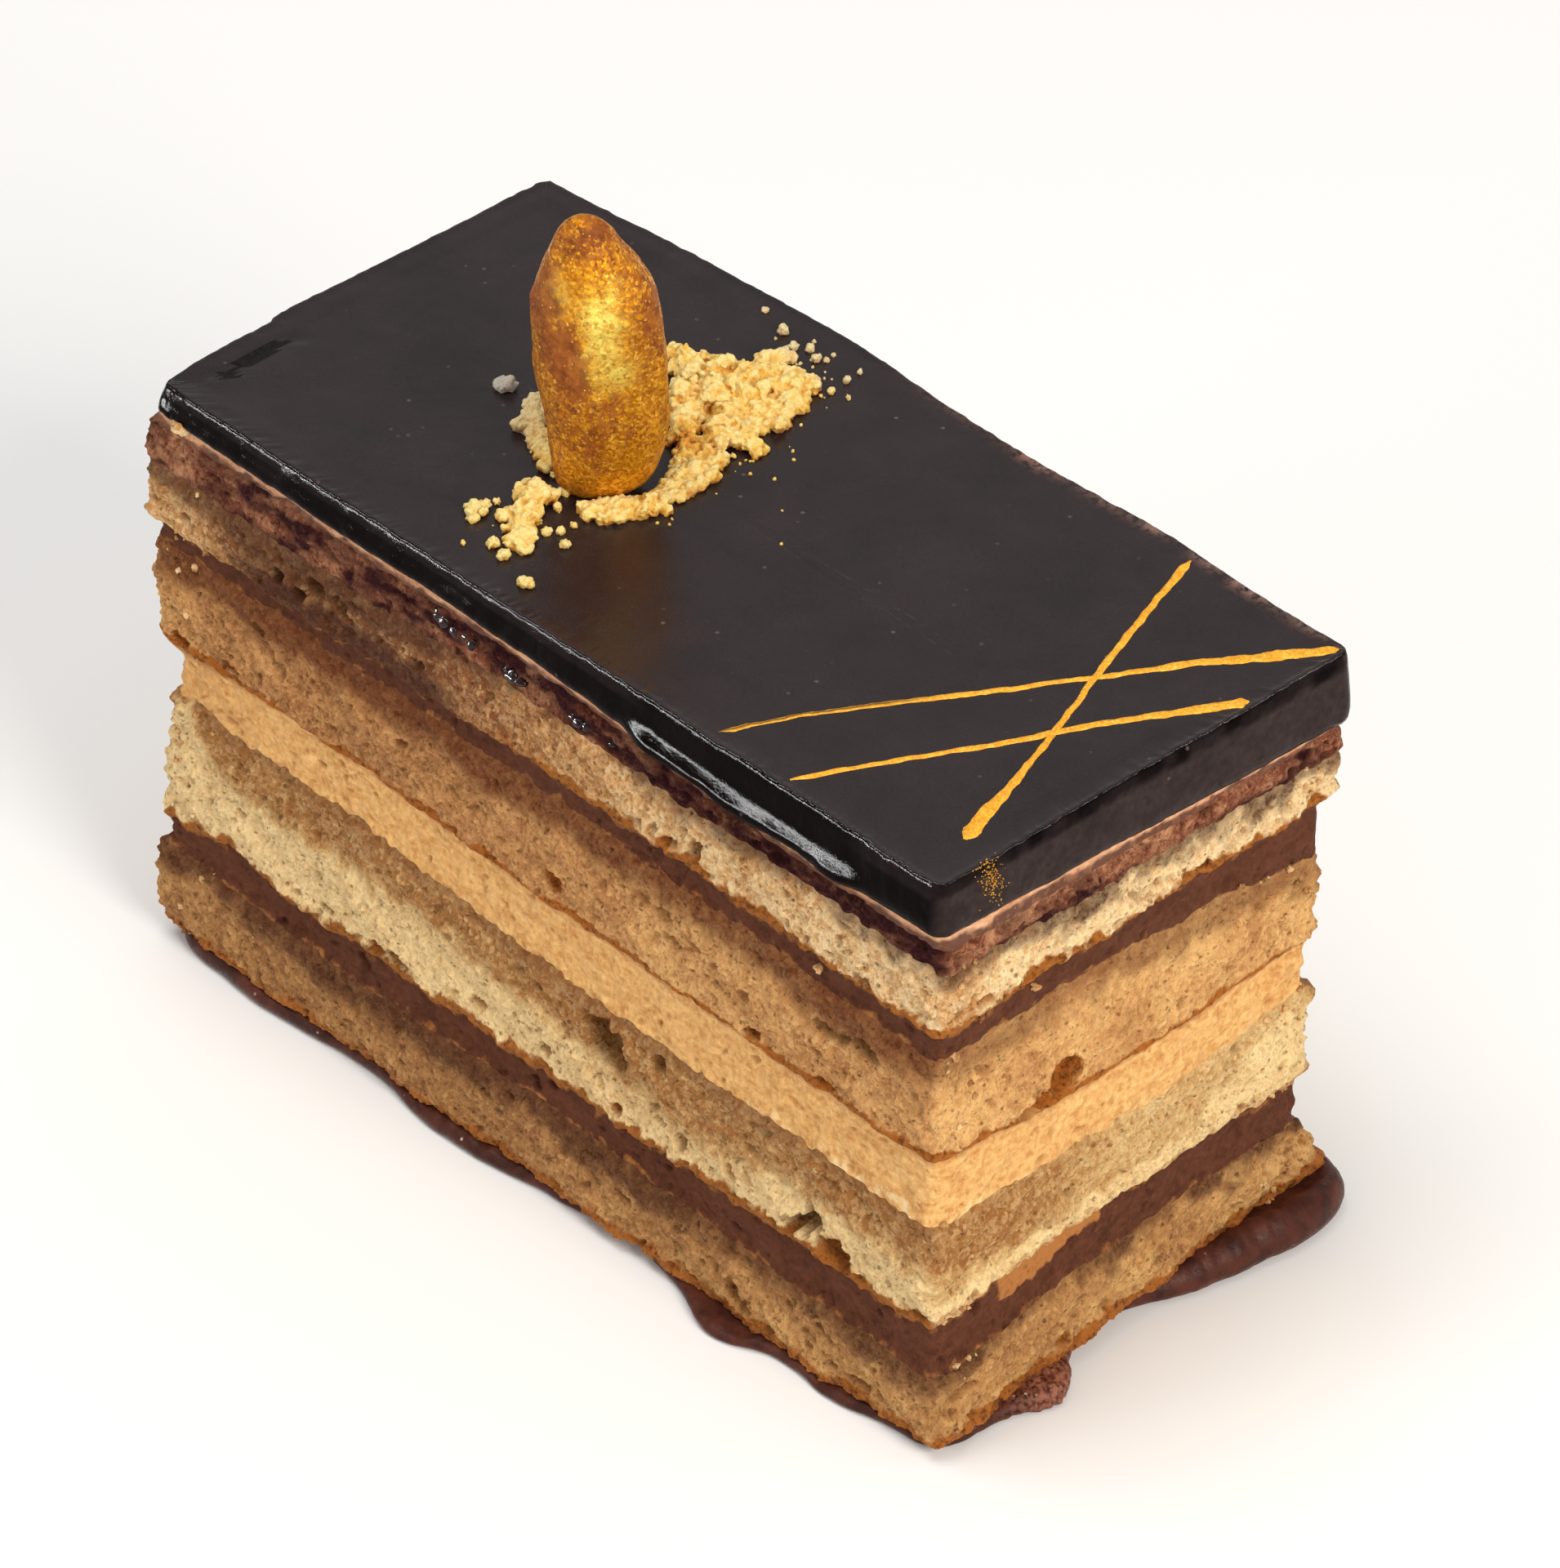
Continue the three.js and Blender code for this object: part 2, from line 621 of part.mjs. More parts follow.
// A heap: flattened cores along each spine, with lumps fused on round them.
function crumbleGeometry(heap, random) {
  const between = ([least, most]) => THREE.MathUtils.lerp(least, most, random());
  const pieces = [];
  for (const spine of heap.spines) {
    const curve = new THREE.CatmullRomCurve3(
      spine.points.map(([x, y]) => new THREE.Vector3(x, y, 0)),
    );
    const coreRadius = CORE_WIDTH * spine.radius;
    const flatten = (CORE_RISE * spine.rise) / spine.radius;
    const stations = Math.ceil(curve.getLength() / (STATION_PITCH * spine.radius));
    for (let i = 0; i <= stations; i += 1) {
      const { x, y } = curve.getPointAt(i / stations);
      const top = glazeTop(x, y);
      pieces.push(placedLump(coreRadius, flatten, random() * Math.PI, x, y, top));
      for (let lump = 0; lump < spine.lumps; lump += 1) {
        const radius = between(LUMP_RADIUS);
        const angle = random() * 2 * Math.PI;
        const off = between(LUMP_OFF);
        const height = (spine.rise - LUMP_SINK * radius) * (1 - HEAP_FALL * off ** 2);
        const up = height * between(LUMP_RISE);
        const lumpX = x + off * spine.radius * Math.cos(angle);
        const lumpY = y + off * spine.radius * Math.sin(angle);
        pieces.push(placedLump(radius, 1, random() * Math.PI, lumpX, lumpY, top + up));
      }
    }
  }
  return pieces.reduce((whole, piece) => whole.add(piece));
}

// The largest body of a union, without the loose scraps that trimming leaves.
function largestBody(solid) {
  const bodies = solid.decompose();
  return bodies.reduce((best, body) => (body.volume() > best.volume() ? body : best));
}

const slice = new THREE.Group();
slice.add(namedMesh(BASE.name, baseGeometry(), BASE));
LAYERS.forEach((layer, i) => {
  const above = LAYERS[i + 1] ?? GLAZE;
  slice.add(namedMesh(layer.name, layerGeometry(layer, above, i + 1), layer));
});
slice.add(namedMesh(GLAZE.name, glazeGeometry(), GLAZE));

const room = aboveGlaze();
const almond = solidOf(almondGeometry(0)).intersect(room);
slice.add(namedMesh(ALMOND.name, geometryOf(almond), ALMOND));
const almondRoom = solidOf(almondGeometry(LAYER_GAP));
const random = seededRandom(CRUMBLE.seed);
for (const heap of CRUMBLE.heaps) {
  const lumps = crumbleGeometry(heap, random).intersect(room).subtract(almondRoom);
  slice.add(namedMesh(heap.name, geometryOf(largestBody(lumps)), CRUMBLE));
}

// The part's origin is the middle of its bounding box in plan, at plate level.
const bounds = new THREE.Box3().setFromObject(slice);
const middle = bounds.getCenter(new THREE.Vector3());
slice.position.set(-middle.x, -middle.y, -bounds.min.z);
const cake = new THREE.Group();
cake.add(slice);

export default cake;
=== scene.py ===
import math

import bmesh
import bpy
import numpy as np
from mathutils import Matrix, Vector


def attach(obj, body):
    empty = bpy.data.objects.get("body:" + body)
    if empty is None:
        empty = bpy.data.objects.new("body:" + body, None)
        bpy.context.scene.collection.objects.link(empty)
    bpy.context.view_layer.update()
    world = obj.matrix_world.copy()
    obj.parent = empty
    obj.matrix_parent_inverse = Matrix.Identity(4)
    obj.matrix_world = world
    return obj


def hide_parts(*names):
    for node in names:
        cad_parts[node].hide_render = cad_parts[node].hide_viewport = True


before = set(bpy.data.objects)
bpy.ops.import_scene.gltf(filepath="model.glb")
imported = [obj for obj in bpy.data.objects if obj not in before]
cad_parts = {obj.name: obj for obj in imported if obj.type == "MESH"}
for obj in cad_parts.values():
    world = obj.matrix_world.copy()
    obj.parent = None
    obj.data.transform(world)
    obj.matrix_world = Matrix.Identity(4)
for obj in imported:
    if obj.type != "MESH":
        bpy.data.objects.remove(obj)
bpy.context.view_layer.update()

MM = 0.001
# Where the part's origin lies in the slice's own coordinates, in mm.
SHIFT = np.array([0.0479, -0.809, 0.0])

# ---------------------------------------------------------------- shape of the slice
HALF_X = 45.0
HALF_Y = 21.0
CORNER = 1.2
BASE_CORNER = 3.2
FINE_STEP = 0.17
COARSE_STEP = 0.46
ROW_STEP = 0.2
FILLING_ROW_STEP = 0.23
CAP_INSET = 3.0

# front: heights of a layer's underside along the front, from the left end to the near corner.
# side: what they gain from there along the short side. grain: how much the side wavers.
# phase: makes its noise differ from the other layers'.
# reach: how far the layer stands out of the plain outline. lean: how far its foot does besides.
LAYERS = {
    "sponge_bottom": dict(
        front=[2.0, 1.7, 1.3, 1.1, 1.0], side=[0.6, 1.2, 1.8], grain=0.34, phase=1,
        reach=dict(front=0.55, near=0.1, far=-3.3, backNear=0.2, backEnd=0.4, end=1.2),
        lean=dict(end=0.0, back=3.4)),
    "ganache_lower": dict(
        front=[10.0, 8.5, 8.9, 8.0, 7.4], side=[1.4, 1.7, 1.3], grain=0.12, phase=2,
        reach=dict(front=-0.2, near=-1.0, far=-2.9, backNear=-0.7, backEnd=-0.3, end=0.0)),
    "sponge_lower_mid": dict(
        front=[12.0, 11.9, 11.8, 11.5, 12.0], side=[1.2, 1.4, 1.0], grain=0.36, phase=3,
        reach=dict(front=0.15, near=-1.0, far=-2.6, backNear=0.1, backEnd=0.2, end=-1.2),
        lean=dict(end=2.3, back=0.0)),
    "coffee_buttercream": dict(
        front=[25.6, 24.4, 22.8, 21.8, 21.6], side=[-0.4, -0.6, 0.7], grain=0.1, phase=4,
        reach=dict(front=-0.35, near=-1.4, far=-2.5, backNear=-0.8, backEnd=-0.5, end=-1.7)),
    "sponge_upper_mid": dict(
        front=[30.0, 30.0, 28.7, 28.2, 27.8], side=[-1.4, -1.2, -0.3], grain=0.32, phase=5,
        reach=dict(front=0.1, near=-1.3, far=-2.0, backNear=0.1, backEnd=0.2, end=0.5)),
    "ganache_upper": dict(
        front=[40.0, 39.5, 39.2, 38.5, 37.4], side=[0.0, -0.4, -1.9], grain=0.1, phase=6,
        reach=dict(front=-0.3, near=-1.0, far=-1.7, backNear=-0.6, backEnd=-0.3, end=0.0)),
    "sponge_top": dict(
        front=[41.5, 41.2, 41.3, 40.7, 39.7], side=[0.6, 1.1, 1.5], grain=0.32, phase=7,
        reach=dict(front=0.2, near=-0.4, far=-0.8, backNear=0.4, backEnd=0.4, end=0.9)),
    "cocoa_band": dict(
        front=[47.0, 47.0, 47.4, 46.8, 46.2], side=[-0.6, -0.5, -1.1], grain=0.2, phase=8,
        reach=dict(front=-0.1, near=-0.5, far=-0.8, backNear=1.0, backEnd=0.2, end=1.1)),
    "mocha_cream": dict(
        front=[51.0, 50.6, 50.2, 48.5, 47.9], side=[-0.2, -0.3, -0.5], grain=0.06, phase=9,
        reach=dict(front=-0.25, near=-0.6, far=-0.9, backNear=-0.3, backEnd=-0.2, end=-0.2)),
    "glaze": dict(
        front=[52.3, 51.9, 51.3, 49.8, 49.5], side=[-0.4, -0.9, -1.2], grain=0.0, phase=10,
        reach=dict(front=0.25, near=-0.5, far=-0.4, backNear=0.8, backEnd=0.8, end=-0.4)),
}
ORDER = list(LAYERS)

# Where two layers' faces meet, as a share from the lower one's to the upper one's.
SEAM_SHARE = {"ganache_lower": 0.5, "sponge_lower_mid": 0.45}

# Small unevenness of each boundary, by the layer above it: slow and fast swing in mm.
EDGE_SWING = {
    "sponge_bottom": (0.25, 0.16), "ganache_lower": (0.3, 0.2), "sponge_lower_mid": (0.3, 0.3),
    "coffee_buttercream": (0.45, 0.3), "sponge_upper_mid": (0.15, 0.14),
    "ganache_upper": (0.25, 0.2), "sponge_top": (0.3, 0.28), "cocoa_band": (0.3, 0.25),
    "mocha_cream": (0.2, 0.12), "glaze": (0.1, 0.05),
}

# Lobes (+) and notches (-) in the outline of the base and the glaze: face, at, reach, width.
LOBES = {
    "base_chocolate": [
        ("front", -34, 1.1, 9), ("front", -9, 1.6, 8), ("front", 8, -0.6, 4),
        ("front", 22, 2.7, 5), ("front", 34, 1.4, 5), ("side", -9.5, 2.2, 3.2),
        ("side", -1, -3.4, 6), ("side", 17, 0.9, 5), ("back", 38, 4.3, 12),
        ("back", -10, 1.2, 14), ("end", 4, 1.8, 14)],
    "glaze": [("back", -45, -1.6, 13), ("back", -10, 0.65, 9), ("back", 26, 0.6, 9),
              ("back", 46, 0.2, 8), ("end", 21, -0.5, 20)],
}
LOBE_FADE = 4.0

# Torn holes by layer and face: place along the face, height, half width, half height, depth, and
# how caramelised the inside is. Places are on the plain outline, and see_through() carries them on.
HOLES = {
    ("sponge_lower_mid", "front"): [
        (29.0, 13.5, 0.95, 0.8, 2.6, 0.1), (30.3, 14.0, 1.0, 0.9, 2.9, 0.1),
        (31.3, 15.2, 0.95, 1.25, 2.7, 0.1), (33.9, 12.9, 1.55, 1.5, 2.0, 0.95),
        (7.2, 19.2, 2.3, 2.1, 2.4, 0.0), (9.0, 18.6, 1.1, 2.4, 2.0, 0.0),
        (13.8, 20.3, 0.9, 0.8, 1.2, 0.1), (16.1, 13.9, 0.5, 0.9, 1.1, 0.3),
        (22.1, 14.2, 0.5, 0.7, 0.9, 0.4), (-35.6, 17.2, 0.5, 0.4, 0.8, 0.1),
        (-16.7, 13.2, 1.2, 0.9, 1.5, 0.7), (-19.3, 12.9, 0.9, 0.5, 0.9, 0.8),
        (-25.4, 13.5, 0.7, 0.4, 0.8, 0.7), (-7.5, 14.2, 0.9, 0.6, 1.0, 0.5),
        (0.4, 14.2, 0.8, 0.6, 1.0, 0.5), (9.0, 13.1, 0.6, 0.5, 0.9, 0.7),
        (25.3, 20.4, 1.4, 0.5, 0.8, 0.1), (33.3, 19.7, 1.1, 0.5, 0.8, 0.1)],
    ("sponge_lower_mid", "side"): [(-18.7, 16.1, 0.5, 0.5, 0.6, 0.2)],
    ("sponge_upper_mid", "front"): [
        (33.2, 34.0, 1.9, 0.8, 1.9, 0.1), (37.2, 34.6, 1.6, 1.0, 1.6, 0.2),
        (23.5, 32.4, 1.1, 0.4, 0.9, 0.1), (14.6, 34.8, 1.0, 0.5, 0.9, 0.1),
        (15.9, 32.9, 1.0, 0.45, 0.9, 0.1), (18.1, 34.0, 0.8, 0.5, 0.8, 0.1),
        (1.6, 31.2, 1.1, 1.1, 0.9, 0.9), (24.7, 29.2, 0.8, 0.5, 0.8, 0.9),
        (32.8, 28.8, 1.1, 0.5, 0.7, 0.9), (-32.3, 37.3, 1.2, 0.5, 0.9, 0.1),
        (-35.7, 31.6, 0.9, 0.5, 0.9, 0.9), (-41.9, 31.0, 1.1, 0.6, 0.9, 0.9)],
    ("sponge_upper_mid", "side"): [
        (-8.2, 30.1, 1.7, 1.7, 1.9, 1.0), (-11.4, 28.7, 1.9, 1.0, 1.2, 1.0),
        (12.9, 35.5, 1.1, 0.5, 0.9, 0.2), (-12.8, 35.9, 1.3, 0.35, 0.5, 0.1)],
    ("sponge_bottom", "front"): [
        (21.7, 2.9, 0.8, 1.1, 1.4, 0.5), (23.0, 1.9, 0.9, 0.6, 1.2, 0.3),
        (30.0, 2.3, 0.6, 0.3, 0.7, 0.2), (35.4, 2.1, 1.4, 0.35, 1.0, 0.3),
        (-6.4, 6.1, 0.9, 0.4, 0.8, 0.3)],
    ("sponge_bottom", "side"): [
        (-18.4, 5.4, 1.9, 0.5, 1.3, 0.4), (-13.6, 2.9, 1.0, 0.4, 0.8, 0.6),
        (-7.7, 4.4, 0.7, 0.5, 0.9, 0.8), (17.3, 9.3, 0.8, 0.8, 1.0, 0.6)],
    ("sponge_top", "front"): [
        (17.7, 43.0, 0.8, 1.0, 1.2, 0.4), (36.7, 41.1, 1.2, 0.5, 1.2, 0.5),
        (-29.4, 43.7, 0.8, 0.8, 1.4, 0.1), (-25.2, 44.6, 1.1, 1.0, 1.6, 0.3),
        (-22.3, 44.5, 0.9, 0.8, 1.4, 0.2), (-27.0, 43.3, 0.9, 0.6, 1.2, 0.2),
        (-13.4, 43.7, 0.8, 0.7, 1.1, 0.2)],
    ("sponge_top", "side"): [
        (-8.9, 42.0, 0.7, 0.4, 0.8, 0.4), (-0.2, 42.9, 0.8, 0.4, 0.7, 0.4),
        (5.9, 42.6, 0.9, 0.4, 0.9, 0.2), (-16.8, 42.1, 0.9, 0.5, 0.8, 0.6)],
    ("coffee_buttercream", "side"): [
        (13.8, 27.0, 0.8, 0.4, 0.4, 0.2), (-19.4, 23.6, 0.5, 0.25, 0.5, 0.1)],
}
# Along the line of sight: sideways and upward travel for each mm that a face stands out.
SIGHT_FRONT = (1.07, 1.08)
SIGHT_SIDE = (-0.94, 1.01)

WAVES = [(0.5, 0.31, 0.47, 0.9, 1.0), (0.35, 0.83, -1.03, 1.7, 2.3), (0.25, 1.9, 1.7, -2.9, 4.1)]


def clamp01(v):
    return np.clip(v, 0.0, 1.0)


def smooth(low, high, v):
    t = clamp01((v - low) / (high - low))
    return t * t * (3 - 2 * t)


def lerp(a, b, t):
    return a + (b - a) * t


def dent(value, width):
    """A soft bell: 1 at 0, and nearly 0 at twice the width."""
    return np.exp(-((value / width) ** 2))


def xyz(x, y, z):
    """Points as rows, from three arrays of one shape."""
    return np.stack([x.ravel(), y.ravel(), z.ravel()], 1)


def plan(x, y):
    return xyz(x, y, x * 0)


def shrunk(x, y, inset):
    """Places on the outline drawn in towards the middle."""
    return x * (1 - inset / HALF_X), y * (1 - inset / HALF_Y)


# ---------------------------------------------------------------- noise
def lattice(ix, iy, iz, seed):
    """A pseudo-random value -1..1 at each integer lattice point."""
    h = (ix * 73856093) ^ (iy * 19349663) ^ (iz * 83492791) ^ (seed * 40503 + 977)
    h = h & 0x7FFFFFFF
    h = ((h ^ (h >> 15)) * 1103515245 + 12345) & 0x7FFFFFFF
    h = ((h ^ (h >> 13)) * 69069 + 1) & 0x7FFFFFFF
    return ((h >> 7) & 0xFFFFFF) / 8388607.5 - 1.0


def noise(p, scale, seed):
    """Smooth value noise, -1..1, at points p in mm, scale in waves per mm."""
    q = p * scale
    i = np.floor(q).astype(np.int64)
    f = q - i
    f = f * f * f * (f * (f * 6 - 15) + 10)
    total = np.zeros(len(p))
    for dx in (0, 1):
        wx = f[:, 0] if dx else 1 - f[:, 0]
        for dy in (0, 1):
            wy = f[:, 1] if dy else 1 - f[:, 1]
            for dz in (0, 1):
                wz = f[:, 2] if dz else 1 - f[:, 2]
                total += wx * wy * wz * lattice(i[:, 0] + dx, i[:, 1] + dy, i[:, 2] + dz, seed)
    return total


def fbm(p, scale, octaves, seed, gain=0.5):
    """Noise of several octaves, each gain times as strong as the one before."""
    total = np.zeros(len(p))
    size = 1.0
    for octave in range(octaves):
        total += size * noise(p, scale * 2.03**octave, seed + 31 * octave)
        size *= gain
    return total


def cells(u, v, size, seed):
    """Worley cells on the unrolled side: distance to the nearest and second centres, in cells,
    and the nearest cell's own random value -1..1."""
    gu, gv = u / size, v / size
    iu, iv = np.floor(gu).astype(np.int64), np.floor(gv).astype(np.int64)
    first, second = np.full(u.shape, 9.0), np.full(u.shape, 9.0)
    own = np.zeros(u.shape)
    for du in (-1, 0, 1):
        for dv in (-1, 0, 1):
            cu, cv = iu + du, iv + dv
            pu = cu + 0.5 + 0.45 * lattice(cu, cv, cu * 0, seed)
            pv = cv + 0.5 + 0.45 * lattice(cu, cv, cu * 0 + 1, seed)
            d = np.hypot(gu - pu, gv - pv)
            closer = d < first
            second = np.where(closer, first, np.minimum(second, d))
            own = np.where(closer, lattice(cu, cv, cu * 0 + 2, seed), own)
            first = np.where(closer, d, first)
    return first, second, own


# ---------------------------------------------------------------- the slice's own surfaces
def along(values, share):
    """Catmull-Rom value at share 0..1 through evenly spaced station values."""
    values = np.asarray(values, float)
    last = len(values) - 1
    place = clamp01(share) * last
    index = np.minimum(np.floor(place).astype(int), last - 1)
    f = place - index
    b, c = values[index], values[index + 1]
    a = np.where(index > 0, values[np.maximum(index - 1, 0)], 2 * b - c)
    d = np.where(index + 2 <= last, values[np.minimum(index + 2, last)], 2 * c - b)
    cubic = (3 * (b - c) + d - a) * f**3
    square = (2 * a - 5 * b + 4 * c - d) * f**2
    return b + 0.5 * ((c - a) * f + square + cubic)


def boundary(layer, x, y):
    """Height of a layer's underside."""
    spec = LAYERS[layer]
    rise = along([0.0, *spec["side"]], (y + HALF_Y) / (2 * HALF_Y))
    fade = clamp01(x / HALF_X) ** 2
    z = along(spec["front"], (x + HALF_X) / (2 * HALF_X)) + rise * fade
    slow, fast = EDGE_SWING[layer]
    seed = 100 + 7 * spec["phase"]
    p = plan(x, y)
    z = z + slow * noise(p, 0.21, seed) + fast * fbm(p, 0.9, 2, seed + 1, 0.6)
    if layer == "sponge_lower_mid":
        z = z + 0.9 * dent(x + 36, 3.0) * (y < 0)
    return z


def middle(height, *before):
    """A height function's point in the middle of the slice, as one row."""
    return np.array([[0.0, 0.0, height(*before, np.zeros(1), np.zeros(1))[0]]])


def glaze_top(x, y):
    return 54.9 - 0.012 * x + 0.012 * y


def waver(x, y, z, phase):
    total = 0
    for share, wx, wy, wz, wp in WAVES:
        total = total + share * np.sin(wx * x + wy * y + wz * z + wp * phase)
    return total


def outline(radius):
    """The rounded rectangle as columns: x, y, outward normal and arc length, from the +Y end of
    the -X face, anticlockwise, with close steps on the two cut faces."""
    pts, normals = [], []

    def straight(x0, y0, x1, y1, nx, ny, step):
        n = max(2, int(round(math.hypot(x1 - x0, y1 - y0) / step)))
        for k in range(n):
            pts.append((x0 + (x1 - x0) * (k / n), y0 + (y1 - y0) * (k / n)))
            normals.append((nx, ny))

    def corner(cx, cy, start, step):
        n = max(4, int(round(radius * math.pi / 2 / step)))
        for k in range(n):
            a = start + math.pi / 2 * k / n
            pts.append((cx + radius * math.cos(a), cy + radius * math.sin(a)))
            normals.append((math.cos(a), math.sin(a)))

    rx, ry = HALF_X - radius, HALF_Y - radius
    straight(-HALF_X, ry, -HALF_X, -ry, -1, 0, COARSE_STEP)
    corner(-rx, -ry, math.pi, FINE_STEP)
    straight(-rx, -HALF_Y, rx, -HALF_Y, 0, -1, FINE_STEP)
    corner(rx, -ry, -math.pi / 2, FINE_STEP)
    straight(HALF_X, -ry, HALF_X, ry, 1, 0, FINE_STEP)
    corner(rx, ry, 0, COARSE_STEP)
    straight(rx, HALF_Y, -rx, HALF_Y, 0, 1, COARSE_STEP)
    corner(-rx, ry, math.pi / 2, COARSE_STEP)
    p = np.array(pts)
    ahead = np.roll(p, -1, 0) - p
    arc = np.concatenate([[0], np.cumsum(np.hypot(ahead[:, 0], ahead[:, 1]))[:-1]])
    return p[:, 0], p[:, 1], np.array(normals), arc


def stand_out(reach, x, y):
    """How far a layer stands out of the plain outline, in x and in y."""
    across = (y + HALF_Y) / (2 * HALF_Y)
    length = (x + HALF_X) / (2 * HALF_X)
    out_x = np.where(x > 0, lerp(reach["near"], reach["far"], across), reach["end"])
    out_y = np.where(y < 0, reach["front"], lerp(reach["backEnd"], reach["backNear"], length**2))
    return x / HALF_X * out_x, y / HALF_Y * out_y


FACE_NORMALS = {"front": (0, -1), "side": (1, 0), "back": (0, 1), "end": (-1, 0)}


def on_face(face, n):
    """1 where the outward normals n belong to a face, 0 where they don't."""
    fx, fy = FACE_NORMALS[face]
    return clamp01(n[..., 0] * fx + n[..., 1] * fy)


def lobe_shift(node, x, y):
    """Sideways shift of an outline: whole on a lobe's own face, none LOBE_FADE further in."""
    sx, sy = np.zeros(len(x)), np.zeros(len(x))
    for face, at, reach, width in LOBES[node]:
        fx, fy = FACE_NORMALS[face]
        place = x if fy else y
        inward = (HALF_X if fx else HALF_Y) - (x * fx + y * fy)
        amount = smooth(LOBE_FADE, 0.0, inward) * reach * dent(place - at, width)
        sx += amount * fx
        sy += amount * fy
    return sx, sy


# ---------------------------------------------------------------- meshes
def add_mesh(name, verts, faces, materials, replaces=(), attributes=None, face_slots=None,
             sharp_rings=()):
    """A mesh object from vertices in slice millimetres and a list of face index arrays."""
    mesh = bpy.data.meshes.new(name)
    loops = np.concatenate([f.ravel() for f in faces])
    sizes = np.concatenate([np.full(len(f), f.shape[1]) for f in faces])
    starts = np.concatenate([[0], np.cumsum(sizes)[:-1]])
    mesh.vertices.add(len(verts))
    mesh.vertices.foreach_set("co", ((verts + SHIFT) * MM).astype(np.float32).ravel())
    mesh.loops.add(len(loops))
    mesh.loops.foreach_set("vertex_index", loops.astype(np.int32))
    mesh.polygons.add(len(sizes))
    mesh.polygons.foreach_set("loop_start", starts.astype(np.int32))
    mesh.polygons.foreach_set("use_smooth", np.ones(len(sizes), bool))
    for material in materials:
        mesh.materials.append(material)
    if face_slots is not None:
        mesh.polygons.foreach_set("material_index", face_slots.astype(np.int32))
    mesh.update(calc_edges=True)
    if sharp_rings:
        ends = np.empty(len(mesh.edges) * 2, np.int32)
        mesh.edges.foreach_get("vertices", ends)
        ends = ends.reshape(-1, 2)
        sharp = np.zeros(len(ends), bool)
        for first, last in sharp_rings:
            sharp |= np.all((ends >= first) & (ends < last), axis=1)
        mesh.attributes.new("sharp_edge", "BOOLEAN", "EDGE").data.foreach_set("value", sharp)
    for key, values in (attributes or {}).items():
        attribute = mesh.attributes.new(key, "FLOAT", "POINT")
        attribute.data.foreach_set("value", values.astype(np.float32))
    obj = bpy.data.objects.new(name, mesh)
    bpy.context.scene.collection.objects.link(obj)
    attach(obj, "root")
    if replaces:
        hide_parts(*replaces)


def tube_faces(rows, columns):
    """Quads between closed rings, and triangle fans to one vertex below and one above them."""
    j = np.arange(columns)
    k = (j + 1) % columns
    quads = []
    for r in range(rows - 1):
        a, b = r * columns, (r + 1) * columns
        quads.append(np.stack([a + j, a + k, b + k, b + j], 1))
    low, high = rows * columns, rows * columns + 1
    bottom = np.stack([np.full(columns, low), k, j], 1)
    top_row = (rows - 1) * columns
    top = np.stack([np.full(columns, high), top_row + j, top_row + k], 1)
    return [np.concatenate(quads), np.concatenate([bottom, top])]


class Side:
    """A layer's side as a grid: columns round the outline, rows from its lower edge up."""

    def __init__(self, name, above):
        self.name = name
        self.phase = LAYERS[name]["phase"]
        x, y, n, self.arc = outline(CORNER)
        self.period = self.arc[-1] + COARSE_STEP
        self.low, self.high = boundary(name, x, y), boundary(above, x, y)
        self.thickness = float(np.mean(self.high - self.low))
        step = ROW_STEP if name.startswith("sponge") else FILLING_ROW_STEP
        rows = max(5, int(round(max(self.thickness, 0.6) / step)) + 1)
        share = np.linspace(0, 1, rows)
        self.z = self.low[:, None] + (self.high - self.low)[:, None] * share[None, :]
        self.shape = self.z.shape
        self.share = np.repeat(share[None, :], len(x), 0)
        self.x, self.y = (np.repeat(a[:, None], rows, 1) for a in (x, y))
        self.n = np.repeat(n[:, None, :], rows, 1)
        self.flat = xyz(self.x, self.y, self.z)
        self.near_low = self.z - self.low[:, None]
        self.near_top = self.high[:, None] - self.z
        self.front, self.side = on_face("front", self.n), on_face("side", self.n)
        self.long = self.front**2 + on_face("back", self.n) ** 2
        self.corner = smooth(2.2, 0.4, HALF_X - abs(self.x))
        self.corner = self.corner * smooth(2.2, 0.4, HALF_Y - abs(self.y))

    def noise(self, scale, seed):
        return noise(self.flat, scale, seed + self.phase).reshape(self.shape)

    def fbm(self, scale, octaves, seed, gain=0.5):
        return fbm(self.flat, scale, octaves, seed + self.phase, gain).reshape(self.shape)

    def drawn(self, stretch):
        """The grid's points with sideways distances shortened, for streaks along the cut."""
        return self.flat * [stretch, stretch, 1.0]


def pore_field(g, count, radius, aspect, seed):
    """Depth in mm of random pores on the unrolled side, deepest where they overlap."""
    rng = np.random.default_rng(seed + g.phase)
    depth = np.zeros(g.shape)
    low, high = g.z.min(1), g.z.max(1)
    for _ in range(count):
        at = rng.random() * g.period
        r = radius[0] * (radius[1] / radius[0]) ** (rng.random() ** 3.4)
        stretch = 1 + (aspect - 1) * rng.random()
        tilt = rng.normal(0, 0.25)
        share = rng.random()
        sink = r * rng.uniform(0.7, 1.3)
        reach = 1.3 * r * stretch
        i0, i1 = np.searchsorted(g.arc, [at - reach, at + reach])
        if i1 - i0 < 2:
            continue
        centre = (i0 + i1) // 2
        height = low[centre] + share * (high[centre] - low[centre])
        du = (g.arc[i0:i1] - at)[:, None]
        dz = g.z[i0:i1] - height - tilt * du
        rho = (du / (r * stretch)) ** 2 + (dz / r) ** 2
        depth[i0:i1] = np.maximum(depth[i0:i1], sink * np.sqrt(clamp01(1 - rho)))
    return depth


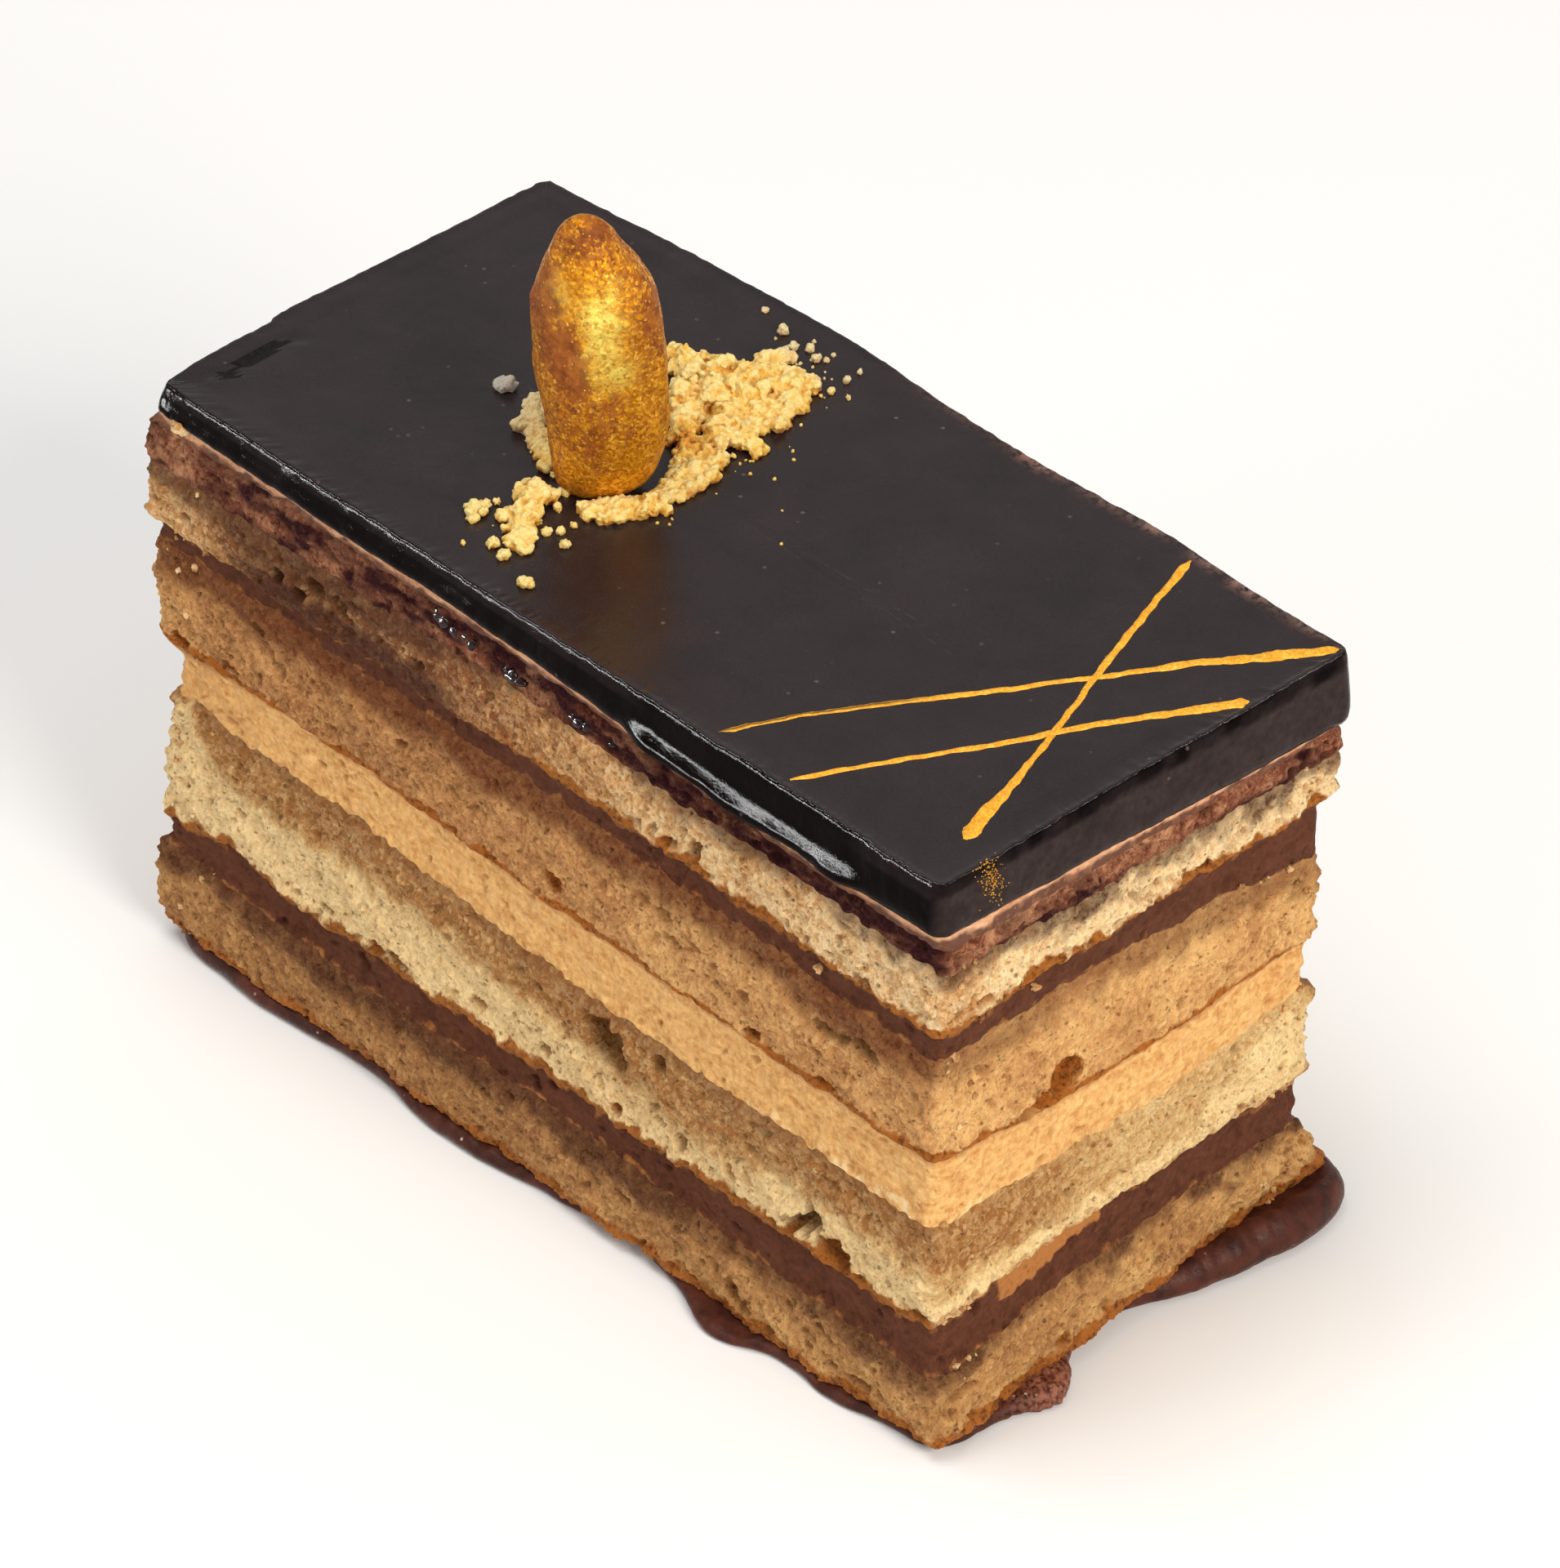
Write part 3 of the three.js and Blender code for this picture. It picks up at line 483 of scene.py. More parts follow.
def see_through(name, face, at, height):
    """Carries a place on the plain outline along the line of sight to the layer's own face."""
    reach = LAYERS[name]["reach"]
    if face == "front":
        out, sight = reach["front"], SIGHT_FRONT
    else:
        out = lerp(reach["near"], reach["far"], (at + HALF_Y) / (2 * HALF_Y))
        sight = SIGHT_SIDE
    return at + sight[0] * out, height + sight[1] * out


def hole_field(g):
    """Depth of the layer's torn holes, with steep uneven walls, and how browned they are."""
    depth, caramel = np.zeros(g.shape), np.zeros(g.shape)
    wobble = noise(g.flat, 0.9, 51) + 0.4 * noise(g.flat, 2.4, 52)
    wobble = wobble.reshape(g.shape)
    for face, place, facing in (("front", g.x, g.front), ("side", g.y, g.side)):
        for at, height, half_width, half_height, deep, brown in HOLES.get((g.name, face), []):
            at, height = see_through(g.name, face, at, height)
            rho = ((place - at) / half_width) ** 2 + ((g.z - height) / half_height) ** 2
            rho = rho * (1 + 0.4 * wobble)
            near = facing**4
            depth = np.maximum(depth, near * deep * (1 - clamp01(rho) ** 3))
            caramel = np.maximum(caramel, near * brown * clamp01(1.6 - rho))
    return depth, caramel


def layer_offset(name, x, y, share):
    """How far a layer stands out from the plain outline at a share of its height."""
    spec = LAYERS[name]
    out_x, out_y = stand_out(spec["reach"], x, y)
    lean = spec.get("lean")
    if lean:
        foot = 1 - share
        out_x = out_x + np.where(x < 0, x / HALF_X * foot * lean["end"], 0)
        near = y / HALF_Y * ((x + HALF_X) / (2 * HALF_X)) ** 2
        out_y = out_y + np.where(y > 0, near * foot * lean["back"], 0)
    return out_x, out_y


def seam(below, above, x, y, z):
    """The place that two layers share at their common edge: offset and outward push."""
    ax, ay = layer_offset(below, x, y, 1.0)
    bx, by = layer_offset(above, x, y, 0.0)
    share = SEAM_SHARE.get(above, 0.5)
    p = xyz(x, y, z)
    seed = 600 + 5 * LAYERS[above]["phase"]
    push = 0.12 * noise(p, 0.7, seed) + 0.09 * noise(p, 2.1, seed + 1) - 0.08
    push = push - 0.25 * clamp01(noise(p, 0.35, seed + 2) - 0.1)
    return lerp(ax, bx, share), lerp(ay, by, share), push


# Points of the finished faces by layer, with their normals: crumbs and drops are stuck on these.
SURFACES = {}


def layer_mesh(name, above, material, slot, relief, masks):
    """One layer from its underside to the next boundary. relief takes the side's grid and gives
    the outward push in mm, and masks gives the named masks."""
    g = Side(name, above)
    columns, rows = g.shape
    out_x, out_y = layer_offset(name, g.x, g.y, g.share)
    push = LAYERS[name]["grain"] * waver(g.x, g.y, g.z, g.phase)
    g.hole, g.caramel = hole_field(g)
    push = push - g.hole + relief(g)
    # Near its edges the layer runs into its neighbours' faces.
    run = min(0.6, 0.3 * g.thickness)
    x, y = g.x[:, 0], g.y[:, 0]
    below = ORDER[ORDER.index(name) - 1] if name != ORDER[0] else None
    edges = (((below, name), g.low, g.near_low), ((name, above), g.high, g.near_top))
    for pair, z, distance in edges:
        if pair[0] is None or pair[1] == "glaze":
            continue
        seam_x, seam_y, seam_push = seam(*pair, x, y, z)
        near = smooth(run, 0.0, distance)
        out_x = lerp(out_x, seam_x[:, None], near)
        out_y = lerp(out_y, seam_y[:, None], near)
        push = lerp(push, seam_push[:, None] - 0.5 * g.hole, near)
    px = g.x + out_x + push * g.n[..., 0]
    py = g.y + out_y + push * g.n[..., 1]
    SURFACES[name] = np.stack([px, py, g.z, g.n[..., 0], g.n[..., 1]], -1).reshape(-1, 5)

    def cap(layer):
        ix, iy = shrunk(x, y, CAP_INSET)
        return xyz(ix, iy, boundary(layer, ix, iy))

    rings = [xyz(px[:, r], py[:, r], g.z[:, r]) for r in range(rows)]
    ends = [middle(boundary, name), middle(boundary, above)]
    verts = np.concatenate([cap(name), *rings, cap(above), *ends])
    row_of_ring = [0, *range(rows), rows - 1]
    attributes = {key: np.concatenate([mask[:, row_of_ring].T.ravel(), np.zeros(2)])
                  for key, mask in masks(g).items()}
    sharp = [(start, start + columns) for start in (columns, columns * rows)]
    add_mesh(name + "_detailed", verts, tube_faces(rows + 2, columns), [material], (name,),
             attributes, sharp_rings=sharp)


# ---------------------------------------------------------------- materials
def srgb(text):
    """Linear colour from a hexadecimal sRGB one."""
    parts = [int(text[i:i + 2], 16) / 255 for i in (1, 3, 5)]
    return tuple(c / 12.92 if c <= 0.04045 else ((c + 0.055) / 1.055) ** 2.4 for c in parts)


class Shader:
    """Short-hand for building one node material. Colours are hexadecimal sRGB."""

    def __init__(self, name):
        self.material = bpy.data.materials.new(name)
        self.material.use_nodes = True
        self.tree = self.material.node_tree
        self.tree.nodes.clear()
        self.out = self.add("ShaderNodeOutputMaterial")
        self.bsdf = self.add("ShaderNodeBsdfPrincipled")
        self.link(self.bsdf.outputs[0], self.out.inputs["Surface"])
        self.coords = self.add("ShaderNodeTexCoord").outputs["Object"]

    def add(self, kind):
        return self.tree.nodes.new(kind)

    def link(self, a, b):
        self.tree.links.new(a, b)

    def put(self, socket, value):
        if isinstance(value, bpy.types.NodeSocket):
            self.link(value, socket)
        elif isinstance(value, str):
            socket.default_value = (*srgb(value), 1.0)
        else:
            socket.default_value = value

    def attribute(self, name):
        node = self.add("ShaderNodeAttribute")
        node.attribute_name = name
        return node.outputs["Fac"]

    def stretched(self, stretch):
        if stretch is None:
            return self.coords
        node = self.add("ShaderNodeMapping")
        node.inputs["Scale"].default_value = stretch
        self.link(self.coords, node.inputs["Vector"])
        return node.outputs["Vector"]

    def noise(self, per_mm, detail=3.0, rough=0.55, distort=0.0, stretch=None):
        node = self.add("ShaderNodeTexNoise")
        node.inputs["Scale"].default_value = per_mm / MM
        node.inputs["Detail"].default_value = detail
        node.inputs["Roughness"].default_value = rough
        node.inputs["Distortion"].default_value = distort
        self.link(self.stretched(stretch), node.inputs["Vector"])
        return node.outputs["Fac"]

    def voronoi(self, per_mm, output="Distance", feature="F1", stretch=None):
        node = self.add("ShaderNodeTexVoronoi")
        node.feature = feature
        node.inputs["Scale"].default_value = per_mm / MM
        self.link(self.stretched(stretch), node.inputs["Vector"])
        return node.outputs[output]

    def cell_values(self, per_mm):
        """Three random values for each cell of a Voronoi texture."""
        node = self.add("ShaderNodeSeparateColor")
        self.link(self.voronoi(per_mm, "Color"), node.inputs[0])
        return node.outputs

    def math(self, operation, a, b):
        node = self.add("ShaderNodeMath")
        node.operation = operation
        self.put(node.inputs[0], a)
        self.put(node.inputs[1], b)
        return node.outputs[0]

    def plus(self, a, b):
        return self.math("ADD", a, b)

    def times(self, a, b):
        return self.math("MULTIPLY", a, b)

    def swing(self, texture, amount):
        """How far a texture is from its middle, times an amount."""
        return self.times(self.math("SUBTRACT", texture, 0.5), amount)

    def span(self, value, low, high, to_low=0.0, to_high=1.0):
        node = self.add("ShaderNodeMapRange")
        node.clamp = True
        for key, v in zip(("Value", "From Min", "From Max", "To Min", "To Max"),
                          (value, low, high, to_low, to_high)):
            self.put(node.inputs[key], v)
        return node.outputs["Result"]

    def mix(self, factor, a, b):
        node = self.add("ShaderNodeMix")
        node.data_type = "RGBA"
        node.clamp_factor = True
        self.put(node.inputs[0], factor)
        self.put(node.inputs[6], a)
        self.put(node.inputs[7], b)
        return node.outputs[2]

    def ramp(self, factor, stops):
        node = self.add("ShaderNodeValToRGB")
        self.put(node.inputs[0], factor)
        elements = node.color_ramp.elements
        while len(elements) < len(stops):
            elements.new(0.5)
        for element, (place, colour) in zip(elements, stops):
            element.position = place
            element.color = (*srgb(colour), 1.0)
        return node.outputs["Color"]

    def bump(self, height, distance_mm, strength=1.0, normal=None):
        node = self.add("ShaderNodeBump")
        node.inputs["Strength"].default_value = strength
        node.inputs["Distance"].default_value = distance_mm * MM
        self.link(height, node.inputs["Height"])
        if normal is not None:
            self.link(normal, node.inputs["Normal"])
        return node.outputs["Normal"]

    def finish(self, colour, roughness, normal=None, gloss=0.5, metallic=0.0, glow=None):
        """Fills the shader in. glow is the subsurface weight, scale in m and radius."""
        inputs = self.bsdf.inputs
        self.put(inputs["Base Color"], colour)
        self.put(inputs["Roughness"], roughness)
        self.put(inputs["Metallic"], metallic)
        inputs["Specular IOR Level"].default_value = gloss
        if normal is not None:
            self.link(normal, inputs["Normal"])
        for key, value in zip(("Weight", "Scale", "Radius"), glow or ()):
            inputs["Subsurface " + key].default_value = value
        return self.material


def sponge_material(name, soaked, middling, pale, crust, stain, deep, contrast=1.0, gloss=0.12):
    """Baked crumb: its tone runs from soaked to pale, with syrup stains, crust, and pores painted
    dark as shade.
    """
    s = Shader(name)
    broad = s.noise(0.45, 4, 0.6)
    blotch = s.noise(1.15, 3, 0.65)
    fine = s.noise(2.7, 4, 0.7)
    speck = s.noise(6.5, 3, 0.6)
    tone = s.attribute("tone")
    for texture, weight in ((broad, 0.85), (blotch, 0.95), (fine, 0.85), (speck, 0.45)):
        tone = s.plus(tone, s.swing(texture, weight * contrast))
    colour = s.ramp(tone, [(0.0, soaked), (0.5, middling), (1.0, pale)])
    grain = s.cell_values(2.6)
    colour = s.mix(s.span(grain[0], 0.5, 1.0, 0.0, 0.3), colour, pale)
    colour = s.mix(s.span(grain[1], 0.55, 1.0, 0.0, 0.26), colour, soaked)
    ragged = s.plus(s.swing(blotch, 0.9), s.swing(fine, 0.7))
    colour = s.mix(s.span(s.plus(s.attribute("stain"), ragged), 0.0, 1.0), colour, stain)
    browned = s.ramp(s.noise(1.7, 3), [(0.3, deep), (0.5, crust)])
    colour = s.mix(s.span(s.plus(s.attribute("crust"), ragged), 0.2, 0.75), colour, browned)
    # Painted shade in the pores: dark dots from a texture, and the carved pores and holes darkened
    # by their depth.
    dots = s.voronoi(0.95, stretch=(1, 1, 1.5))
    large = s.times(s.span(dots, 0.27, 0.12), s.span(fine, 0.43, 0.55))
    small = s.times(s.span(s.voronoi(2.2), 0.28, 0.12), s.span(blotch, 0.43, 0.56))
    pores = s.math("MAXIMUM", s.times(large, 0.7), s.times(small, 0.3))
    colour = s.mix(pores, colour, deep)
    colour = s.mix(s.times(s.attribute("pore_shade"), 0.75), colour, deep)
    normal = s.bump(s.plus(s.times(fine, 0.6), s.times(speck, 0.4)), 0.34, 0.9)
    normal = s.bump(s.voronoi(2.6), 0.16, 0.6, normal)
    normal = s.bump(s.math("SUBTRACT", 1.0, pores), 0.26, 0.9, normal)
    return s.finish(colour, s.span(speck, 0.35, 0.7, 0.9, 0.55), normal, gloss,
                    glow=(0.15, 0.0008, (1.0, 0.5, 0.2)))


def cream_material(name, low, high, pit, smear, streak=(1, 1, 5), rough=(0.5, 0.75), bump=0.1,
                   gloss=0.16):
    """Cut buttercream, cream or ganache: streaks along the knife's way, small pits painted dark as
    shade, smears of what the knife dragged over it, and a soft sheen."""
    s = Shader(name)
    long_streak = s.noise(0.35, 4, 0.6, 0.3, streak)
    blotch = s.noise(0.9, 3, 0.6)
    fine = s.noise(1.9, 4, 0.6)
    blend = s.plus(s.times(long_streak, 0.25), s.times(fine, 0.4))
    blend = s.plus(blend, s.times(blotch, 0.35))
    colour = s.mix(s.span(blend, 0.37, 0.63), low, high)
    ragged = s.swing(blotch, 1.6)
    stain = s.plus(s.attribute("stain"), ragged)
    colour = s.mix(s.span(stain, 0.1, 1.0, 0.0, 0.9), colour, pit)
    dragged = s.plus(s.attribute("smear"), s.times(ragged, 1.2))
    colour = s.mix(s.span(dragged, 0.35, 0.9, 0.0, 0.9), colour, smear)
    # Painted shade in small pits: dark spots from a texture, and the carved pits darkened by their
    # depth.
    holes = s.voronoi(1.3, feature="SMOOTH_F1")
    pits = s.times(s.span(holes, 0.04, 0.16, 0.5, 0.0), s.span(s.noise(0.4, 2), 0.45, 0.65))
    colour = s.mix(pits, colour, pit)
    colour = s.mix(s.times(s.attribute("pore_shade"), 0.8), colour, pit)
    normal = s.bump(blend, bump, 0.7)
    normal = s.bump(fine, bump, 0.6, normal)
    normal = s.bump(s.span(holes, 0.02, 0.3), bump, 0.5, normal)
    return s.finish(colour, s.span(fine, 0.35, 0.65, *rough), normal, gloss,
                    glow=(0.12, 0.0008, (1.0, 0.5, 0.25)))


sponge_low_mat = sponge_material(
    "almond_sponge_low", "#8e5e3a", "#bc8852", "#e6b876", "#a8642a", "#55301e", "#643a1c")
sponge_mid_mat = sponge_material(
    "almond_sponge_mid", "#a26c3a", "#d4aa70", "#fadaa0", "#a8662c", "#6a4027", "#7a4c22")
sponge_upper_mat = sponge_material(
    "almond_sponge_upper", "#935f38", "#cb925a", "#f2c07c", "#ae6424", "#6c391e", "#6a3f1c")
sponge_top_mat = sponge_material(
    "almond_sponge_top", "#8a5430", "#d49d62", "#ffdfaa", "#aa6628", "#533021", "#6a3c18", 1.2)
cocoa_mat = sponge_material(
    "cocoa_band", "#5c2d1e", "#8a523c", "#cc946c", "#6e2d14", "#341618", "#260c0a", 1.4, 0.05)
ganache_mat = cream_material(
    "ganache", "#4b291a", "#6b402e", "#2a1008", "#b47640", (1, 1, 3), (0.55, 0.75), 0.26, 0.05)
butter_mat = cream_material(
    "coffee_buttercream", "#c08242", "#f8c882", "#94562a", "#f8dcaa", bump=0.2)
mocha_mat = cream_material("mocha_cream", "#b8784e", "#ecba92", "#4a2218", "#f0cbb0", bump=0.05)


# ---------------------------------------------------------------- reliefs and masks
CRUMB_CELL = 0.46


def crumb_relief(count, radius, amount=1.0):
    """Close crumb cut by a knife: small grains, shallow creases, fine pores, ragged corners."""

    def relief(g):
        warp = 0.3 * g.noise(1.3, 11)
        around = np.repeat(g.arc[:, None], g.shape[1], 1)
        first, second, g.own = cells(around + warp, g.z - warp, CRUMB_CELL, 5 + g.phase)
        g.crease = clamp01(1 - (second - first) / 0.3)
        grains = 0.09 * np.sqrt(clamp01(1 - first**2)) + 0.07 * g.own
        fine = 0.09 * g.fbm(1.9, 2, 15, 0.7)
        jitter = 0.03 * np.random.default_rng(40 + g.phase).normal(size=g.shape)
        rolling = 0.12 * g.fbm(0.3, 3, 21)
        g.pore_depth = pore_field(g, count, radius, 2.2, 400)
        ragged = 0.38 * g.corner * (g.noise(0.75, 45) + 0.6 * g.noise(1.9, 46))
        return amount * (grains + fine + jitter - 0.07 + rolling) + ragged - g.pore_depth

    return relief


def crumb_masks(zone):
    """Masks of a sponge: zone gives its tone, stain and crust; grains, painted shade in the creases
    between them, and painted shade in the pores are added.
    """

    def masks(g):
        g.broad = g.fbm(0.16, 3, 61)
        g.rough = g.fbm(0.6, 3, 62)
        tone, stain, crust = zone(g)
        # Each grain's own random tone, and painted shade in the creases between grains.
        tone = tone + 0.14 * g.own - 0.13 * g.crease
        crust = np.maximum(crust, g.caramel)
        # Painted shade: pores and holes are darker the deeper they are, except where a hole is
        # caramelised.
        pore_shade = 0.8 * smooth(0.08, 0.5, g.pore_depth) + smooth(0.35, 1.5, g.hole)
        return dict(tone=clamp01(tone), stain=clamp01(stain), crust=clamp01(crust),
                    pore_shade=clamp01(pore_shade * (1 - 0.9 * g.caramel)))

    return masks


# In each zone function: rim is the height of the baked crust along the layer's lower edge, and
# reach is how far down from its upper edge the syrup or the smeared filling goes.
def zone_bottom(g):
    x, y, long = g.x, g.y, g.long
    wander = 0.9 * g.rough + 0.8 * g.broad
    tone_long = 0.36 + 0.16 * smooth(-8, 4, x) * smooth(5, 1.5, g.near_low) + 0.12 * g.broad
    tone_long = tone_long + 0.1 * smooth(12, 20, x)
    tone_short = 0.47 + 0.15 * g.broad + 0.1 * smooth(-21, -14, y)
    tone = lerp(tone_short, tone_long, long)
    reach_long = 1.9 + 1.0 * smooth(30, 5, abs(x)) - 0.6 * smooth(14, 22, x)
    reach = lerp(1.0 + 0.4 * smooth(0, 15, y), reach_long, long)
    stain = smooth(2.0, -0.6, g.near_top - reach + 0.8 - wander)
    rim = lerp(1.0, 0.6 + 0.3 * smooth(-8, 6, x), long)
    crust = smooth(0.5, -0.3, g.near_low - rim - 0.45 * g.rough)
    return tone, stain * 0.85, crust * lerp(1.0, 0.75, long)


def zone_lower_mid(g):
    """Pale below, soaked by coffee syrup above."""
    x, y, long = g.x, g.y, g.long
    wander = 0.7 * g.rough + 0.9 * g.broad
    soak_long = 4.6 - 4.6 * smooth(-39, -43, x) + 1.2 * smooth(-5, 3, x) * smooth(26, 20, x)
    soak_short = 5.4 - 3.4 * smooth(7, 14, y)
    soak = lerp(soak_short, soak_long, long)
    soaked = smooth(1.5, -1.5, g.near_top - soak - wander)
    body_long = 0.98 - 0.3 * smooth(2, 12, x) * smooth(29, 24, x) * smooth(2.0, 3.6, g.near_low)
    body_short = 0.5 + 0.5 * smooth(4, 11, y) + 0.5 * smooth(3.0, 1.6, g.near_low)
    body = lerp(body_short, body_long, long) + 0.12 * g.broad
    wet = lerp(0.08 + 0.5 * smooth(-16, 2, y), 0.1, long) + 0.08 * g.broad
    tone = lerp(clamp01(body), wet, soaked)
    rim = 0.6 + 0.35 * g.broad + lerp(-0.15, 0.3 * smooth(-30, -5, x), long)
    crust = smooth(0.5, -0.25, g.near_low - rim - 0.5 * g.rough) * lerp(0.45, 0.9, long)
    stain = 0.45 * soaked * smooth(1.5, 0.2, g.near_top) * long
    return tone, stain, crust


def zone_upper_mid(g):
    x, long = g.x, g.long
    wander = 0.7 * g.rough + 0.9 * g.broad
    tone_long = 0.34 + 0.18 * smooth(-20, 10, x) + 0.25 * smooth(-36, -43, x)
    tone_long = tone_long + 0.25 * smooth(8, 16, x) * smooth(32, 24, x)
    tone_short = 0.83 + 0.1 * g.broad
    tone = lerp(tone_short, tone_long, long) + 0.15 * g.broad
    reach = lerp(2.5, 2.7 - 0.4 * smooth(-25, -5, x), long)
    stain = smooth(1.8, -1.1, g.near_top - reach - wander) * lerp(0.62, 0.85, long)
    rim = lerp(0.6, 0.75, long) + 0.25 * g.broad
    crust = smooth(0.45, -0.2, g.near_low - rim - 0.4 * g.rough)
    return tone, stain, crust


def zone_top(g):
    x, y, long = g.x, g.y, g.long
    wander = 0.8 * g.rough + 1.0 * g.broad
    pale_long = 0.15 + 0.54 * smooth(-12, 8, x + 3 * g.broad) + 0.36 * smooth(-34, -39, x)
    pale_long = pale_long + 0.14 * smooth(26, 36, x)
    pale_short = 0.95 - 0.35 * smooth(-14, -19, y)
    tone = lerp(pale_short, pale_long, long) + 0.14 * g.broad
    reach_long = 0.5 + 2.2 * smooth(-2, -14, x) - 0.9 * smooth(-32, -37, x)
    reach = lerp(0.9, reach_long, long)
    stain = 0.8 * smooth(1.3, -1.0, g.near_top - reach - wander)
    # A dark smear drawn over its lower half.
    smear = smooth(-37, -31, x) * smooth(-5, -13, x)
    smear = smear * smooth(4.0, 1.6, g.near_low + 0.6 * g.rough) * g.front
    crust = smooth(0.9, 0.0, g.near_low - 0.55 - 0.6 * g.rough) * smooth(-12, 4, x)
    return tone, np.maximum(stain, 0.95 * smear), crust


def zone_cocoa(g):
    """Sponge under the cream, wet through by dark syrup in long blotches."""
    x, long = g.x, g.long
    blotch = fbm(g.drawn(0.4), 0.75, 3, 91, 0.6).reshape(g.shape)
    tone = 0.56 + 0.3 * g.broad + 0.2 * smooth(-29, -38, x) * long
    tone = tone + lerp(0.12, 0.0, long)
    high = smooth(0.2, 0.9, g.share)
    wet = 0.38 + 0.8 * blotch + 0.3 * high - 0.22 * smooth(-31, -38, x)
    wet_short = 0.2 + 0.7 * blotch + 0.3 * smooth(0.45, 0.1, g.share)
    right = smooth(4, 14, x)
    wet_long = np.maximum(wet, right * (0.8 + 0.5 * blotch + 0.3 * smooth(0.8, 0.2, g.share)))
    return tone, lerp(wet_short, wet_long, long), 0.15 * smooth(0.3, 0.7, g.rough)


def cream_relief(streak, lumps, pits, pit_radius):
    """A filling cut by a knife: streaks along the cut, soft lumps and small pits."""

    def relief(g):
        knife = streak * fbm(g.drawn(0.25), 0.8, 3, 33 + g.phase).reshape(g.shape)
        knife = knife + 0.3 * lumps * g.noise(1.9, 34)
        lumpy = lumps * g.fbm(0.55, 3, 35)
        g.pore_depth = pore_field(g, pits, pit_radius, 2.4, 500)
        return knife + lumpy - g.pore_depth

    return relief


def cream_masks(stain_of, smear_of=None):
    def masks(g):
        g.rough = g.fbm(0.6, 3, 64)
        smear = smear_of(g) if smear_of else np.zeros(g.shape)
        return dict(stain=clamp01(stain_of(g)), smear=clamp01(smear),
                    pore_shade=clamp01(g.pore_depth / 0.4))

    return masks


def ganache_stain(g):
    return 0.45 * smooth(0.5, 0.0, g.near_top) + 0.35 * smooth(0.4, 0.9, g.rough)


def ganache_smear(g):
    """Crumb dragged along both edges, and a tongue of caramel on the lower band's short side."""
    edge = np.minimum(g.near_low, g.near_top)
    dragged = 0.5 * smooth(0.6, 0.0, edge - 0.35 * g.rough)
    if g.name != "ganache_lower":
        return dragged
    reach = lerp(2.1, 0.8, smooth(-14, -2.4, g.y))
    within = smooth(-14.4, -13.2, g.y) * smooth(-2.0, -3.2, g.y)
    tongue = smooth(0.2, -0.2, g.near_top - reach) * within * g.side**3
    return np.maximum(dragged, 1.6 * tongue)


def butter_stain(g):
    left = 0.25 * smooth(-28, -42, g.x) * g.long
    return left + 0.55 * smooth(0.6, 0.0, g.near_top) + 0.2 * smooth(0.5, 1.0, g.rough)


def butter_smear(g):
    """Paler curls pushed up along the lower edge, mostly by the near corner."""
    near = smooth(14, 40, g.x) * smooth(8, -16, g.y)
    patch = clamp01(0.5 + 1.2 * noise(g.flat, 0.3, 68).reshape(g.shape))
    return (0.2 + 0.5 * near) * patch * smooth(1.4, 0.1, g.near_low - 0.9 * g.rough)


def mocha_stain(g):
    """The cream shows as a thin line: wide on the long faces, a thread on the short ones."""
    line = lerp(0.56, 0.34, g.long) + 0.2 * g.rough
    return smooth(0.16, -0.1, g.share - line)


# By layer: material, slot, relief and masks.
ganache_masks = cream_masks(ganache_stain, ganache_smear)
LOOKS = {
    "sponge_bottom": (sponge_low_mat, "almond_sponge", crumb_relief(2100, (0.12, 0.44)),
                      crumb_masks(zone_bottom)),
    "ganache_lower": (ganache_mat, "ganache", cream_relief(0.06, 0.16, 300, (0.12, 0.4)),
                      ganache_masks),
    "sponge_lower_mid": (sponge_mid_mat, "almond_sponge", crumb_relief(2500, (0.12, 0.42)),
                         crumb_masks(zone_lower_mid)),
    "coffee_buttercream": (butter_mat, "coffee_buttercream",
                           cream_relief(0.06, 0.2, 700, (0.1, 0.32)),
                           cream_masks(butter_stain, butter_smear)),
    "sponge_upper_mid": (sponge_upper_mat, "almond_sponge", crumb_relief(2400, (0.12, 0.42)),
                         crumb_masks(zone_upper_mid)),
    "ganache_upper": (ganache_mat, "ganache", cream_relief(0.06, 0.14, 150, (0.12, 0.3)),
                      ganache_masks),
    "sponge_top": (sponge_top_mat, "almond_sponge", crumb_relief(1600, (0.12, 0.48)),
                   crumb_masks(zone_top)),
    "cocoa_band": (cocoa_mat, "cocoa_band", crumb_relief(1300, (0.12, 0.46), 0.9),
                   crumb_masks(zone_cocoa)),
    "mocha_cream": (mocha_mat, "mocha_cream", cream_relief(0.04, 0.06, 60, (0.1, 0.2)),
                    cream_masks(mocha_stain)),
}
for name, above in zip(ORDER, ORDER[1:]):
    layer_mesh(name, above, *LOOKS[name])

# ---------------------------------------------------------------- base chocolate
# From the underside round the lip to the top: inset from the outline, share of the height.
BASE_PROFILE = [(3.0, 0.0), (0.75, 0.0), (0.4, 0.08), (0.12, 0.22), (0.0, 0.45), (0.03, 0.66),
                (0.2, 0.84), (0.55, 0.96), (1.0, 1.0), (1.7, 1.0), (2.6, 1.0)]
BASE_SINK = 0.1
BASE_CAP = (0.9, 0.82)


